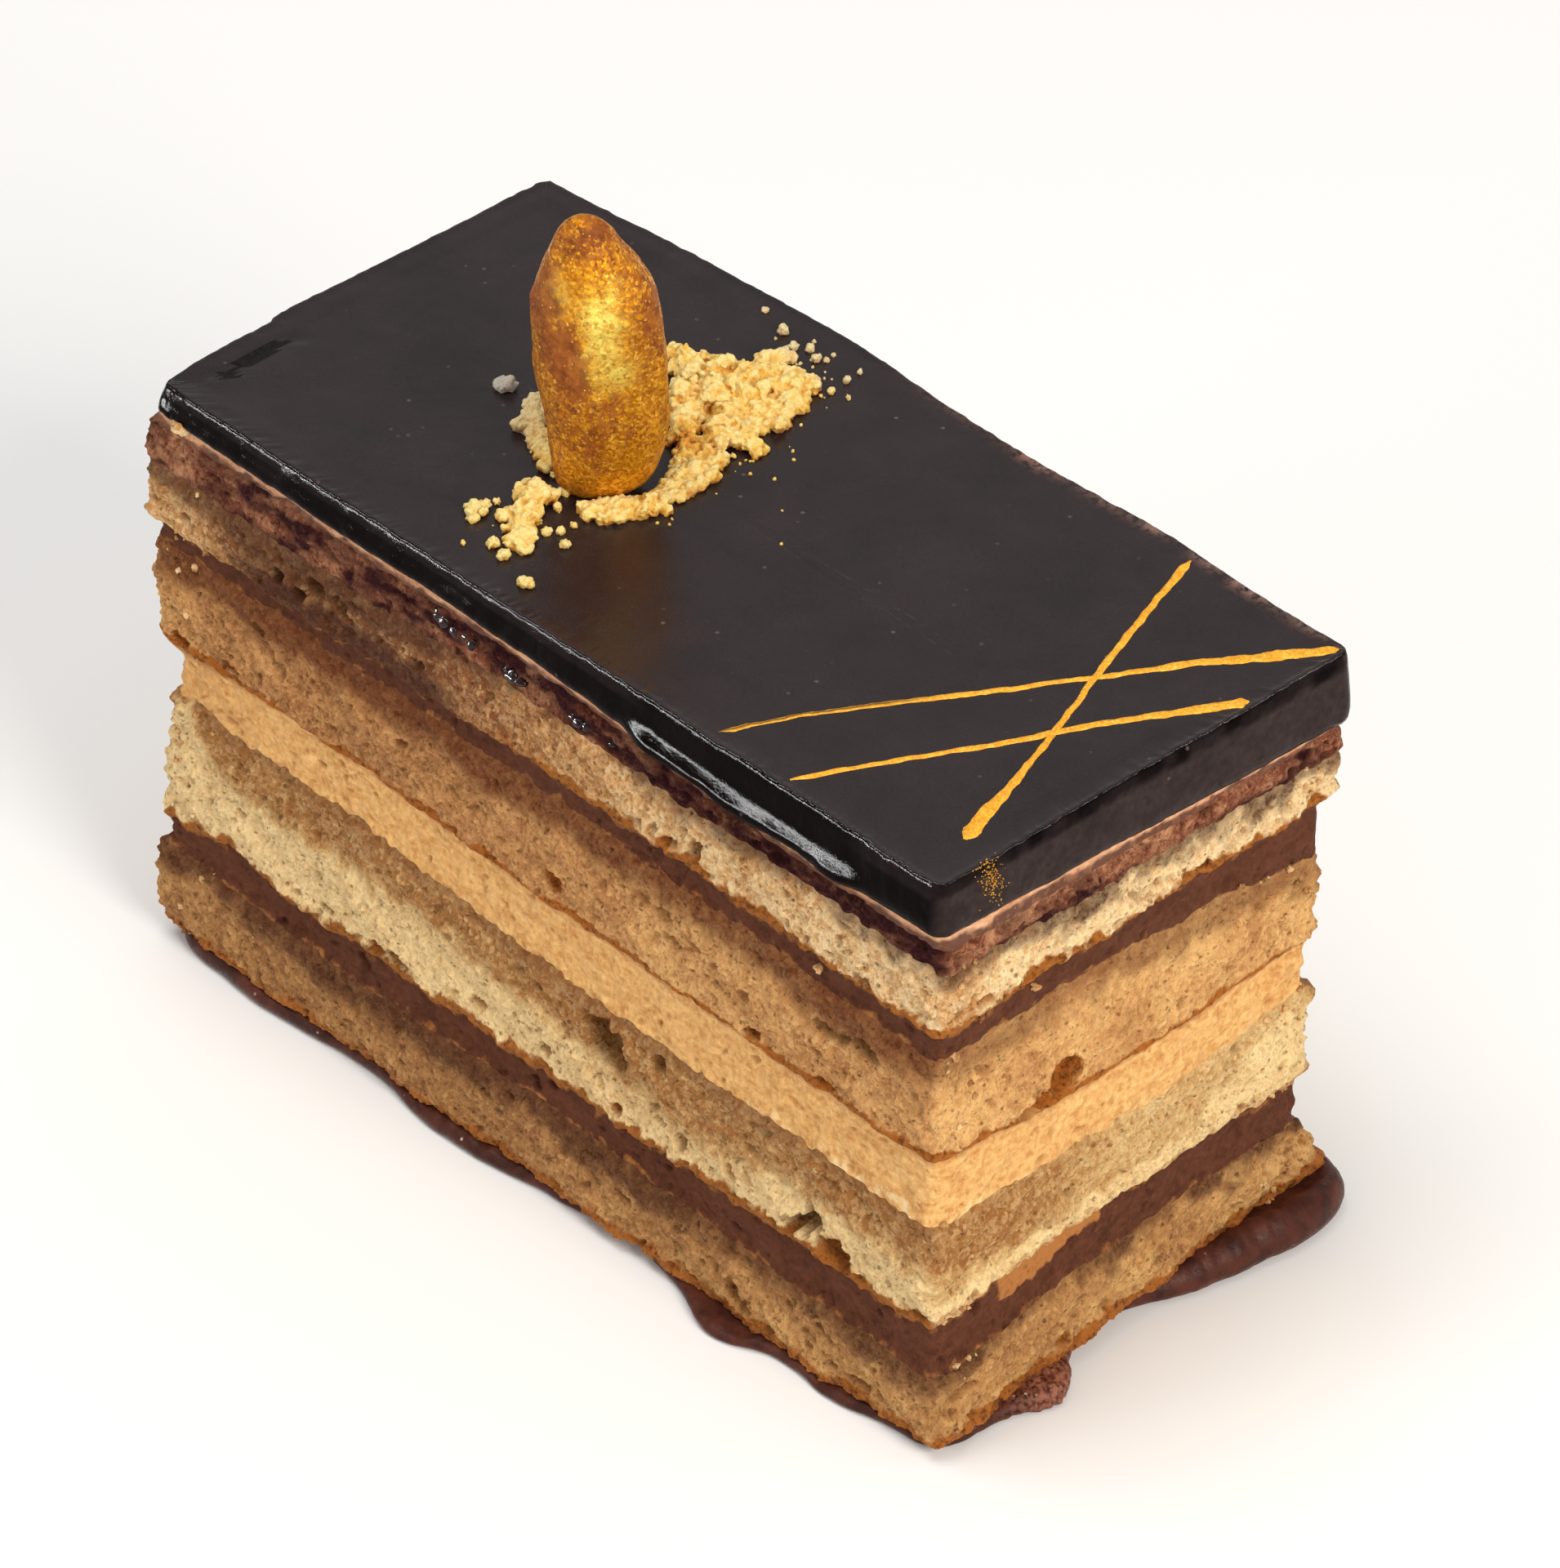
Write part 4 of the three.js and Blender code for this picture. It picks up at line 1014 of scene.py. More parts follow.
def base_mesh():
    x, y, n, _ = outline(BASE_CORNER)
    sx, sy = lobe_shift("base_chocolate", x, y)
    top = boundary("sponge_bottom", x, y) - BASE_SINK
    swell = dent(y - 14, 9) * on_face("side", n)
    torn = dent(y + 9.5, 4) * on_face("side", n)
    p = plan(x, y)
    ragged = 0.18 * fbm(p, 0.22, 2, 300) + 0.28 * torn * fbm(p, 1.1, 3, 301)
    verts = []
    for inset, share in BASE_PROFILE:
        inward = inset * (1 + 0.9 * swell) - ragged
        px = x + sx - n[:, 0] * inward
        py = y + sy - n[:, 1] * inward
        lip = 1.25 * swell * share**2 * dent(inset - 0.8, 0.75)
        pz = share * (top + 0.35 * torn * share) + lip
        q = xyz(px, py, pz)
        rough = 0.05 * fbm(q, 0.35, 3, 302) + 0.3 * torn * fbm(q, 1.2, 3, 303) * (share > 0.1)
        pz = pz + np.where(share > 0.05, rough, 0)
        verts.append(xyz(px, py, np.maximum(pz, 0)))
    cx, cy = x * BASE_CAP[0], y * BASE_CAP[1]
    verts.append(xyz(cx, cy, boundary("sponge_bottom", cx, cy) - BASE_SINK))
    rows = len(verts)
    sunk = np.array([0.0, 0.0, BASE_SINK])
    verts += [np.zeros((1, 3)), middle(boundary, "sponge_bottom") - sunk]
    shares = [share for _, share in BASE_PROFILE] + [1.0]
    height = np.concatenate([np.repeat(shares, len(x)), [0.0, 1.0]])
    torn = np.concatenate([np.tile(torn, rows), np.zeros(2)])
    add_mesh("base_chocolate_detailed", np.concatenate(verts), tube_faces(rows, len(x)),
             [base_mat], ("base_chocolate",), dict(height=height, torn=torn))


def chocolate_material():
    s = Shader("base_chocolate")
    fine = s.noise(2.4, 4, 0.6)
    colour = s.mix(s.span(s.noise(0.5, 3), 0.35, 0.65), "#3a1c15", "#582d21")
    # Painted highlight: the lower part of the lip is painted lighter, where its rounded edge
    # catches the light.
    lower = s.span(s.plus(s.attribute("height"), s.times(fine, 0.2)), 0.5, 0.25)
    colour = s.mix(s.times(lower, 0.5), colour, "#6a3f2e")
    crumbly = s.times(s.attribute("torn"), s.span(fine, 0.4, 0.6))
    colour = s.mix(s.times(crumbly, 0.85), colour, "#a86a50")
    specks = s.times(s.span(s.voronoi(0.75), 0.13, 0.08), s.span(s.noise(0.3, 2), 0.52, 0.6))
    colour = s.mix(s.times(specks, 0.7), colour, "#d8c4ac")
    normal = s.bump(fine, 0.12, 0.6)
    normal = s.bump(s.noise(8.0, 2), 0.04, 0.5, normal)
    return s.finish(colour, s.span(fine, 0.35, 0.7, 0.28, 0.55), normal, 0.16)


base_mat = chocolate_material()
base_mesh()


# ---------------------------------------------------------------- glaze
# From the underside up the side and over the rim: inset from the outline, share of the height.
GLAZE_PROFILE = [(0.35, 0.0), (0.02, 0.0), (-0.12, 0.06), (-0.18, 0.14), (-0.18, 0.24),
                 (-0.14, 0.34), (-0.08, 0.44), (-0.02, 0.54), (0.03, 0.64), (0.08, 0.73),
                 (0.12, 0.81), (0.16, 0.87), (0.2, 0.92), (0.25, 0.955), (0.32, 0.985),
                 (0.42, 1.004), (0.55, 1.01), (0.7, 1.002), (0.9, 0.99), (1.2, 0.985),
                 (1.7, 0.982), (2.4, 0.98)]
# The profile's rings that crumbs and gold can stick to, and how many of the last ones are top.
GLAZE_SIDE_RINGS = slice(2, -7)
GLAZE_TOP_RINGS = 6
RING_STEP = 0.62
WIDE_RING_STEP = 0.992
WIDE_RINGS_FROM = 10.0
PLAIN_RINGS_FROM = 6.0
INNER_INSET = 20.6
CORNER_REACH = 0.8
GLAZE_LIFT = 0.08
SCUFFED_FROM = -0.3


def scuffed(px, py):
    """Where the glaze's skin is scuffed by the left end: a strip, and a bar at the notch."""
    strip = dent(px + 41.4 + 0.12 * (py + 12.5), 1.0) * smooth(-17.8, -15.6, py)
    strip = strip * smooth(-7.9, -9.4, py)
    bar = dent(py + 9.2, 0.7) * smooth(-39.4, -40.6, px)
    return np.maximum(strip, bar)


def glaze_surface(px, py):
    """Height of the glaze's top, with its own unevenness, where the toppings stand."""
    p = plan(px, py)
    z = glaze_top(px, py) - 0.09
    z = z + 0.06 * fbm(p, 0.12, 2, 700) + 0.012 * fbm(p, 0.9, 2, 701)
    return z - 0.16 * scuffed(px, py) * (0.7 + 0.6 * noise(p, 1.6, 702))


def ground(px, py):
    return float(glaze_surface(np.array([px]), np.array([py]))[0])


def torn_corner(x, y):
    return dent(np.hypot(x + HALF_X, y + HALF_Y), 3.2)


def glaze_mesh():
    x, y, n, _ = outline(CORNER)
    columns = len(x)
    ox, oy = stand_out(LAYERS["glaze"]["reach"], x, y)
    sx, sy = lobe_shift("glaze", x, y)
    # The left end steps in at its notch, and stays so up to the front corner.
    step = 0.47 * smooth(-8.5, -9.3, y) * smooth(LOBE_FADE, 0.0, x + HALF_X)
    ox, oy = ox + sx + step, oy + sy
    low, high = boundary("glaze", x, y) + GLAZE_LIFT, glaze_top(x, y)
    front, side, back = (on_face(face, n) for face in ("front", "side", "back"))
    p = plan(x, y)
    slow = 0.1 * fbm(p, 0.1, 2, 710) + 0.035 * fbm(p, 0.5, 2, 711)
    torn = torn_corner(x, y)
    # The glaze hangs lower in a bead along the right half of the front.
    bead = front * smooth(9.5, 13.5, x) * smooth(39, 33, x)
    uneven = 1 + 0.35 * noise(p, 0.45, 719)
    inner_x, inner_y = shrunk(x, y, CAP_INSET)
    verts = [xyz(inner_x, inner_y, boundary("glaze", inner_x, inner_y) + GLAZE_LIFT)]
    matte, rim_grit_and_sheen = [np.zeros(columns)], [np.zeros(columns)]
    for inset, share in GLAZE_PROFILE:
        z = lerp(low, high, share) - torn * 0.25 * share
        z = z - bead * smooth(0.45, 0.0, share) * (0.35 + 0.22 * np.sin(x * 0.6))
        inward = inset + torn * 0.35 * share - bead * uneven * 0.6 * dent(share - 0.15, 0.13)
        q = xyz(x, y, z)
        bulge = slow + 0.03 * fbm(q, 0.8, 3, 712) * (1 - bead)
        bulge = bulge + side * 0.05 * noise(q, 0.9, 713) * smooth(0.5, 0.8, share)
        bulge = bulge - 0.05 * clamp01(fbm(q, 1.6, 2, 714) - 0.4) * (1 + 3 * torn)
        rim = dent(share - 1.0, 0.05) * (inset < 1.5)
        z = z + rim * (0.05 * noise(q, 1.2, 715) + 0.045 * noise(q, 3.0, 716))
        out = bulge - np.minimum(inward, CORNER_REACH)
        px, py = shrunk(x + ox + n[:, 0] * out, y + oy + n[:, 1] * out,
                        np.maximum(inward - CORNER_REACH, 0))
        verts.append(xyz(px, py, z))
        upper = 0.3 * smooth(0.66, 0.74, share + 0.04 * noise(q, 1.4, 717)) * (1 - bead)
        glossy = smooth(0.76, 0.83, share + 0.03 * noise(q, 1.1, 721))
        dusty = 0.95 + 0.25 * noise(q, 0.8, 720) - 0.8 * glossy
        matte.append(np.maximum(upper * front, side * dusty) * (inset < 0.45))
        # Far rim: a gritty strip, with a painted sheen where its rounded edge is lit from behind.
        rim_grit_and_sheen.append(back * dent(inset - 0.4, 0.7) * (share > 0.8)
                        * smooth(-10, 12, x) * clamp01(0.7 + noise(q, 0.6, 718)))
    SURFACES["glaze"] = np.concatenate([np.hstack([ring, n])
                                        for ring in verts[1:][GLAZE_SIDE_RINGS]])
    # Rings over the top: they leave the uneven outline for the plain one on their way in.
    narrow_x, narrow_y = x + ox - n[:, 0] * CORNER_REACH, y + oy - n[:, 1] * CORNER_REACH
    inset = last_inset = GLAZE_PROFILE[-1][0]
    while inset < INNER_INSET:
        further = RING_STEP if inset < WIDE_RINGS_FROM else WIDE_RING_STEP
        inset = min(inset + further, INNER_INSET)
        plain = shrunk(x, y, inset)
        carried = shrunk(narrow_x, narrow_y, inset - CORNER_REACH)
        t = smooth(last_inset, PLAIN_RINGS_FROM, inset)
        px, py = (lerp(a, b, t) for a, b in zip(carried, plain))
        verts.append(xyz(px, py, glaze_surface(px, py) - 0.25 * torn_corner(px, py)))
        ragged = 0.75 + 0.8 * noise(plan(px, py), 0.9, 722)
        matte.append(-scuffed(px, py) * ragged)
        rim_grit_and_sheen.append(np.zeros(columns))
    rows = len(verts)
    verts += [middle(boundary, "glaze"), middle(glaze_surface)]
    matte = np.concatenate([*matte, np.zeros(2)])
    rim_grit_and_sheen = np.concatenate([*rim_grit_and_sheen, np.zeros(2)])
    faces = tube_faces(rows, columns)
    quads = len(faces[0])
    # Slots: 0 on the top, 1 on the side and underneath, 2 where the top is scuffed.
    slots = np.zeros(quads + len(faces[1]))
    slots[:columns * (len(GLAZE_PROFILE) - GLAZE_TOP_RINGS)] = 1
    slots[quads:quads + columns] = 1
    slots[:quads][matte[faces[0]].mean(1) < SCUFFED_FROM] = 2
    add_mesh("glaze_detailed", np.concatenate(verts), faces,
             [glaze_top_mat, glaze_side_mat, glaze_scuffed_mat], ("glaze",),
             dict(matte=clamp01(matte), rim=rim_grit_and_sheen), slots)


def glaze_material(name, colour, other, dust, rough, gloss, grainy=0.0, bump=0.05):
    s = Shader(name)
    fine = s.noise(1.6, 4, 0.6)
    broad = s.noise(0.16, 4, 0.6, 0.4)
    tint = s.mix(s.span(broad, 0.35, 0.65), colour, other)
    tint = s.mix(s.times(s.attribute("matte"), s.span(fine, 0.3, 0.7, 0.55, 1.0)), tint, dust)
    # Far rim painted lighter and rougher: partly grit, partly a painted sheen of the edge lit from
    # behind.
    edge = s.times(s.attribute("rim"), s.span(fine, 0.38, 0.55))
    tint = s.mix(s.times(edge, 0.9), tint, "#8c6250")
    pit = s.times(s.span(s.voronoi(0.55), 0.12, 0.05), s.span(s.noise(0.2, 2), 0.5, 0.62))
    tint = s.mix(s.times(pit, 0.5), tint, "#7c6c62")
    grain = s.noise(6.0, 3, 0.7)
    tint = s.mix(s.span(grain, 0.3, 0.7, 0.0, grainy), tint, dust)
    roughness = s.plus(s.span(broad, 0.35, 0.65, *rough), s.times(edge, 0.4))
    normal = s.bump(fine, bump, 0.35)
    normal = s.bump(grain, 0.03, 0.4, normal)
    return s.finish(tint, roughness, normal, gloss)


glaze_top_mat = glaze_material(
    "dark_glaze_top", "#191112", "#221718", "#463a3c", (0.17, 0.28), 0.38, 0.25)
glaze_side_mat = glaze_material(
    "dark_glaze_side", "#080404", "#0e0706", "#3d3231", (0.05, 0.14), 0.024, bump=0.09)
glaze_scuffed_mat = glaze_material(
    "dark_glaze_scuffed", "#0c0707", "#181010", "#3c2d2b", (0.2, 0.5), 0.14, bump=0.9)
drop_mat = glaze_material(
    "dark_glaze_drops", "#150a09", "#23110f", "#3e2e2c", (0.05, 0.12), 0.3)
glaze_mesh()


# ---------------------------------------------------------------- gold dust lines
# Places along each line: x, y, half width.
GOLD_LINES = [
    [(19.2, -19.9, 0.25), (22.6, -12.9, 0.25), (29.0, -2.3, 0.3), (33.7, 5.6, 0.32),
     (37.6, 12.2, 0.45), (40.8, 16.9, 0.62), (43.8, 21.3, 0.45)],
    [(27.2, -20.0, 0.28), (30.6, -13.0, 0.28), (34.2, -6.2, 0.32), (37.4, 0.4, 0.36),
     (40.8, 6.6, 0.45), (43.6, 11.6, 0.65)],
    [(28.0, 21.0, 0.38), (30.5, 13.5, 0.32), (33.7, 5.0, 0.3), (36.3, -1.5, 0.3),
     (38.6, -8.1, 0.38), (41.2, -15.5, 0.8)],
]
GOLD_RISE = 0.22
GOLD_STEP = 0.12
GOLD_ACROSS = 11


def gold_line_mesh():
    verts, faces, bare = [], [], []
    start = 0
    for number, line in enumerate(GOLD_LINES):
        line = np.array(line)
        count = int(np.hypot(*(line[-1, :2] - line[0, :2])) / GOLD_STEP)
        t = np.linspace(0, 1, count)
        cx, cy, half = (along(line[:, k], t) for k in range(3))
        dx, dy = np.gradient(cx), np.gradient(cy)
        size = np.hypot(dx, dy)
        nx, ny = -dy / size, dx / size
        edge = xyz(cx, cy, cx * 0 + number * 7)
        sway = 0.1 * fbm(edge, 0.5, 2, 801)
        taper = smooth(0, 0.03, t) * smooth(0, 0.02, 1 - t)
        wide = half * (1.05 + 0.2 * fbm(edge, 1.1, 3, 800))
        wide = wide * (0.35 + 0.65 * taper)
        rows, dark = [], []
        for a in np.linspace(-1, 1, GOLD_ACROSS):
            px = cx + nx * (a * wide + sway)
            py = cy + ny * (a * wide + sway)
            q = plan(px, py)
            body = np.sqrt(clamp01(1 - a * a))
            rise = GOLD_RISE * body * (0.7 + 0.2 * noise(q, 1.3, 802) + 0.12 * noise(q, 3.4, 803))
            rise = rise * (0.4 + 0.6 * taper)
            rows.append(xyz(px, py, glaze_surface(px, py) - 0.05 + np.maximum(rise, 0.0)))
            # The first line is worn through to the glaze towards its front end.
            dark.append((number == 0) * smooth(28, 25, px) * dent(a, 0.5))
        rows.append(xyz(cx, cy, glaze_surface(cx, cy) - 0.12))
        dark.append(np.zeros(count))
        ring = len(rows)
        order = np.arange(count * ring).reshape(count, ring) + start
        ahead = np.roll(order, -1, 1)
        faces.append(np.stack([order[:-1], ahead[:-1], ahead[1:], order[1:]], -1).reshape(-1, 4))
        for loop in (order[0], order[-1][::-1]):
            faces.append(np.array([[loop[0], loop[k + 1], loop[k]] for k in range(1, ring - 1)]))
        verts.append(np.stack(rows, 1).reshape(-1, 3))
        bare.append(np.stack(dark, 1).ravel())
        start += count * ring
    add_mesh("gold_lines", np.concatenate(verts), faces, [gold_mat], ("glaze",),
             dict(bare=np.concatenate(bare)))


def gold_material():
    s = Shader("gold_dust")
    flakes = s.cell_values(5.5)
    blend = s.plus(s.times(flakes[0], 0.55), s.times(s.noise(1.1, 3, 0.6), 0.5))
    colour = s.ramp(blend, [(0.1, "#d98a1c"), (0.4, "#f0a428"), (0.68, "#fbb836"),
                            (0.95, "#ffd45e")])
    colour = s.mix(s.times(s.attribute("bare"), 0.85), colour, "#2a1208")
    normal = s.bump(s.noise(6.0, 3, 0.6), 0.05, 0.7)
    normal = s.bump(flakes[1], 0.03, 0.5, normal)
    return s.finish(colour, s.span(flakes[2], 0.0, 1.0, 0.3, 0.6), normal, 0.25, metallic=0.1)


gold_mat = gold_material()
gold_line_mesh()


# ---------------------------------------------------------------- small lumps
def unit_lump(level):
    """An icosphere's vertices and triangles."""
    bm = bmesh.new()
    bmesh.ops.create_icosphere(bm, subdivisions=level, radius=1.0)
    bm.verts.ensure_lookup_table()
    v = np.array([tuple(p.co) for p in bm.verts])
    f = np.array([[q.index for q in p.verts] for p in bm.faces])
    bm.free()
    return v, f


LUMP_TINY, LUMP_COARSE, LUMP_FINE = (unit_lump(level) for level in (1, 2, 3))


def turned(v, rng):
    """Vertices turned at random about three axes."""
    a, b, c = rng.random(3) * math.tau
    rx = np.array([[1, 0, 0], [0, math.cos(a), -math.sin(a)], [0, math.sin(a), math.cos(a)]])
    ry = np.array([[math.cos(b), 0, math.sin(b)], [0, 1, 0], [-math.sin(b), 0, math.cos(b)]])
    rz = np.array([[math.cos(c), -math.sin(c), 0], [math.sin(c), math.cos(c), 0], [0, 0, 1]])
    return v @ (rx @ ry @ rz).T


def lump(centre, size, rng, rough=0.3, shape=LUMP_COARSE, knobs=1.6):
    """One irregular crumb: an icosphere squashed, turned and pushed about by noise."""
    v, f = shape
    seed = int(rng.integers(1, 60000))
    v = v * (1 + rough * fbm(v + 10, knobs, 2, seed))[:, None]
    v = v * rng.uniform(0.72, 1.25, 3)
    return turned(v, rng) * size + np.asarray(centre), f


def joined(parts):
    verts, faces, start = [], [], 0
    for v, f in parts:
        verts.append(v)
        faces.append(f + start)
        start += len(v)
    return np.concatenate(verts), [np.concatenate(faces)]


# ---------------------------------------------------------------- crumble
# Ridges of the heaps: x, y, half width, height.
CRUMBLE = {
    "crumble_heap": [
        [(-18.6, 10.4, 0.7, 1.0), (-16.6, 10.0, 1.2, 1.5), (-14.3, 9.3, 1.8, 1.8),
         (-12.2, 8.2, 2.0, 2.0), (-9.9, 7.2, 2.0, 1.9), (-8.0, 6.0, 1.8, 1.7),
         (-6.8, 4.3, 1.6, 1.3), (-6.0, 2.2, 1.3, 1.0), (-5.2, -0.6, 1.2, 0.95),
         (-5.0, -3.0, 1.1, 1.0), (-5.3, -5.1, 1.1, 1.0), (-6.4, -7.0, 1.0, 0.95),
         (-7.8, -8.4, 0.7, 0.7)],
        [(-11.5, 9.0, 2.0, 1.9), (-11.2, 12.0, 1.6, 1.5), (-12.6, 14.6, 1.0, 1.2),
         (-12.6, 16.8, 0.5, 0.6)],
        [(-10.5, 9.5, 1.8, 1.7), (-9.4, 12.3, 1.5, 1.3), (-8.6, 14.6, 1.1, 1.0),
         (-8.4, 15.9, 0.7, 0.7)],
        [(-9.0, 8.4, 1.8, 1.6), (-7.6, 11.0, 1.1, 0.9), (-7.1, 13.4, 0.8, 0.6)],
        [(-9.0, 7.5, 1.8, 1.7), (-6.8, 7.2, 1.3, 1.2), (-5.0, 6.2, 0.7, 0.6)],
        [(-14.2, 8.0, 1.5, 1.7), (-12.0, 5.8, 1.5, 1.5), (-10.2, 3.8, 1.3, 1.2),
         (-8.4, 2.4, 1.2, 1.1), (-6.6, 0.8, 1.1, 0.9), (-5.6, -1.6, 1.0, 0.9)],
        [(-17.6, 10.6, 0.9, 1.3), (-15.6, 11.0, 1.2, 1.7), (-13.4, 11.6, 1.3, 1.6),
         (-11.4, 13.4, 1.3, 1.3), (-9.6, 15.4, 0.9, 1.0)],
        [(-9.4, 14.6, 1.0, 1.0), (-7.0, 12.4, 1.2, 1.0), (-6.4, 9.6, 1.0, 1.0)],
        [(-4.6, -3.4, 1.1, 1.0), (-6.0, -6.0, 0.9, 0.9), (-6.6, -8.4, 0.7, 0.6)],
    ],
    "crumble_front": [
        [(-12.2, -9.7, 1.2, 1.3), (-11.0, -11.5, 1.25, 1.4), (-10.3, -12.9, 1.1, 1.2),
         (-9.1, -14.1, 0.9, 0.9), (-7.6, -15.3, 0.55, 0.5)],
        [(-11.2, -12.0, 0.8, 0.9), (-11.6, -13.7, 0.5, 0.6)],
    ],
    "crumble_left": [
        [(-20.9, -1.7, 0.8, 1.1), (-19.9, -3.2, 1.0, 1.0), (-18.0, -4.5, 0.85, 0.8),
         (-16.4, -5.2, 0.6, 0.6), (-14.0, -6.7, 0.4, 0.5)],
    ],
}
CRUMBLE_TALLER = 1.3
CRUMBLE_VOXEL = 0.115
RIDGE_PITCH = 0.42
GRAIN = (0.2, 0.74)
GRAINS_PER_STEP = 6


def ridge_points(ridge):
    """Evenly spaced points along a ridge, with its half width and height there."""
    ridge = np.array(ridge)
    lengths = np.hypot(*np.diff(ridge[:, :2], axis=0).T)
    marks = np.concatenate([[0], np.cumsum(lengths)])
    s = np.linspace(0, marks[-1], max(2, int(marks[-1] / RIDGE_PITCH) + 1))
    return np.stack([np.interp(s, marks, ridge[:, k]) for k in range(4)], 1)


def crumble_parts(ridges, rng):
    """Grains heaped along the ridges, over a low core that they hide."""
    parts = []
    for ridge in ridges:
        for px, py, half, tall in ridge_points(ridge):
            tall = tall * CRUMBLE_TALLER * rng.uniform(0.65, 1.2)
            half = half * rng.uniform(0.8, 1.15)
            core = 0.22 * tall
            parts.append(lump((px, py, ground(px, py) + 0.5 * core), core, rng))
            for _ in range(GRAINS_PER_STEP):
                angle, far = rng.random() * math.tau, half * rng.random() ** 0.6
                qx, qy = px + far * math.cos(angle), py + far * math.sin(angle)
                r = GRAIN[0] + (GRAIN[1] - GRAIN[0]) * rng.random() ** 1.8
                room = tall * (1 - 0.85 * (far / half) ** 2)
                height = r * 0.5 + max(0.0, room - r) * rng.random() ** 0.5
                parts.append(lump((qx, qy, ground(qx, qy) + height), r, rng, 0.42))
    return parts


def relaxed(values, quads, rounds=2):
    """Vertex values drawn towards their neighbours' along the quads' edges."""
    near, far = quads.ravel(), np.roll(quads, -1, 1).ravel()
    here, there = np.concatenate([near, far]), np.concatenate([far, near])
    count = np.bincount(here, minlength=len(values))[:, None]
    for _ in range(rounds):
        total = [np.bincount(here, values[there, k], len(values)) for k in range(3)]
        values = lerp(values, np.stack(total, 1) / count, 0.6)
    return values


def remeshed(name, parts):
    """One closed skin of quads round overlapping lumps: vertices in mm, normals and quads."""
    verts, faces = joined(parts)
    mesh = bpy.data.meshes.new(name + "_raw")
    mesh.from_pydata(verts.tolist(), [], faces[0].tolist())
    raw = bpy.data.objects.new(name + "_raw", mesh)
    bpy.context.scene.collection.objects.link(raw)
    modifier = raw.modifiers.new("skin", "REMESH")
    modifier.mode = "VOXEL"
    modifier.voxel_size = CRUMBLE_VOXEL
    evaluated = raw.evaluated_get(bpy.context.evaluated_depsgraph_get())
    skin = evaluated.to_mesh()
    quads = np.array([list(p.vertices) for p in skin.polygons])
    fields = []
    for key in ("co", "normal"):
        values = np.empty(len(skin.vertices) * 3, np.float32)
        skin.vertices.foreach_get(key, values)
        fields.append(relaxed(values.reshape(-1, 3).astype(float), quads))
    evaluated.to_mesh_clear()
    bpy.data.objects.remove(raw)
    bpy.data.meshes.remove(mesh)
    v, n = fields
    return v, n / np.linalg.norm(n, axis=1)[:, None], quads


def crumble_material():
    s = Shader("crumble")
    fine = s.noise(2.2, 4, 0.65)
    # The tone attribute carries painted shade between and under the grains, near the glaze and
    # beside the almond.
    blend = s.plus(s.attribute("tone"), s.swing(fine, 0.8))
    colour = s.ramp(blend, [(0.0, "#94480c"), (0.3, "#d8963a"), (0.6, "#f3c25c"),
                            (0.95, "#ffe294")])
    colour = s.mix(s.attribute("grey"), colour, "#cfc3b2")
    normal = s.bump(fine, 0.28, 0.9)
    normal = s.bump(s.noise(6.5, 2), 0.14, 0.9, normal)
    return s.finish(colour, 0.8, normal, 0.25, glow=(0.12, 0.001, (1.0, 0.6, 0.25)))


crumble_mat = crumble_material()
# The lone crumb to the left of the almond: x, y, radius.
GREY_CRUMB = (-24.5, -2.0, 0.85)


def standing_proud(v, pitch=0.13, reach=4):
    """How far each vertex lies above the mean of the highest ones near it, in mm."""
    cell = np.floor(v[:, :2] / pitch).astype(int)
    cell = cell - cell.min(0) + reach
    tops = np.full(cell.max(0) + reach + 1, -np.inf)
    np.maximum.at(tops, (cell[:, 0], cell[:, 1]), v[:, 2])
    known = np.isfinite(tops)
    total, count = np.zeros(tops.shape), np.zeros(tops.shape)
    for dx in range(-reach, reach + 1):
        for dy in range(-reach, reach + 1):
            total += np.roll(np.where(known, tops, 0.0), (dx, dy), (0, 1))
            count += np.roll(known, (dx, dy), (0, 1))
    mean = total / np.maximum(count, 1)
    return v[:, 2] - mean[cell[:, 0], cell[:, 1]]


def crumble_tone_and_shade(v, push=0.0):
    """Painted shade: paler on the tops of the grains, darker and browner between and under them and
    close to the glaze, over a random tone.
    """
    tone = 0.72 + 0.16 * fbm(v, 0.7, 3, 905) + 0.12 * noise(v, 2.4, 910) + 1.4 * push
    tone = tone + 0.5 * np.clip(standing_proud(v) + 0.14, -0.8, 0.25)
    above = v[:, 2] - glaze_top(v[:, 0], v[:, 1])
    tone = tone - 0.2 * smooth(0.5, 0.0, above)
    # Painted shadow beside the almond's foot: the crumbs there are painted darker and browner.
    return clamp01(tone - 0.55 * dent(np.hypot(v[:, 0] + 8.8, v[:, 1] - 2.6), 2.0))


def crumble_grey(v):
    """Dry crumbs are greyer to the left, at the far end and in the lone one by the almond."""
    left = 0.35 * smooth(-15, -19, v[:, 0]) * smooth(6, 2, v[:, 1])
    far = 0.45 * smooth(15, 18, v[:, 1])
    lone = 0.85 * dent(np.hypot(v[:, 0] - GREY_CRUMB[0], v[:, 1] - GREY_CRUMB[1]), 2.2)
    patchy = 0.1 * clamp01(noise(v, 0.5, 907))
    return clamp01(left + far + lone + patchy)


for which, (name, ridges) in enumerate(CRUMBLE.items()):
    v, n, quads = remeshed(name, crumble_parts(ridges, np.random.default_rng(60 + which)))
    push = 0.22 * (abs(noise(v, 1.9, 900)) - 0.25) + 0.13 * noise(v, 3.4, 901)
    v = v + n * push[:, None]
    v[:, 2] = np.maximum(v[:, 2], glaze_surface(v[:, 0], v[:, 1]) - 0.25)
    add_mesh(name + "_detailed", v, [quads], [crumble_mat], (name,),
             dict(tone=crumble_tone_and_shade(v, push), grey=crumble_grey(v)))


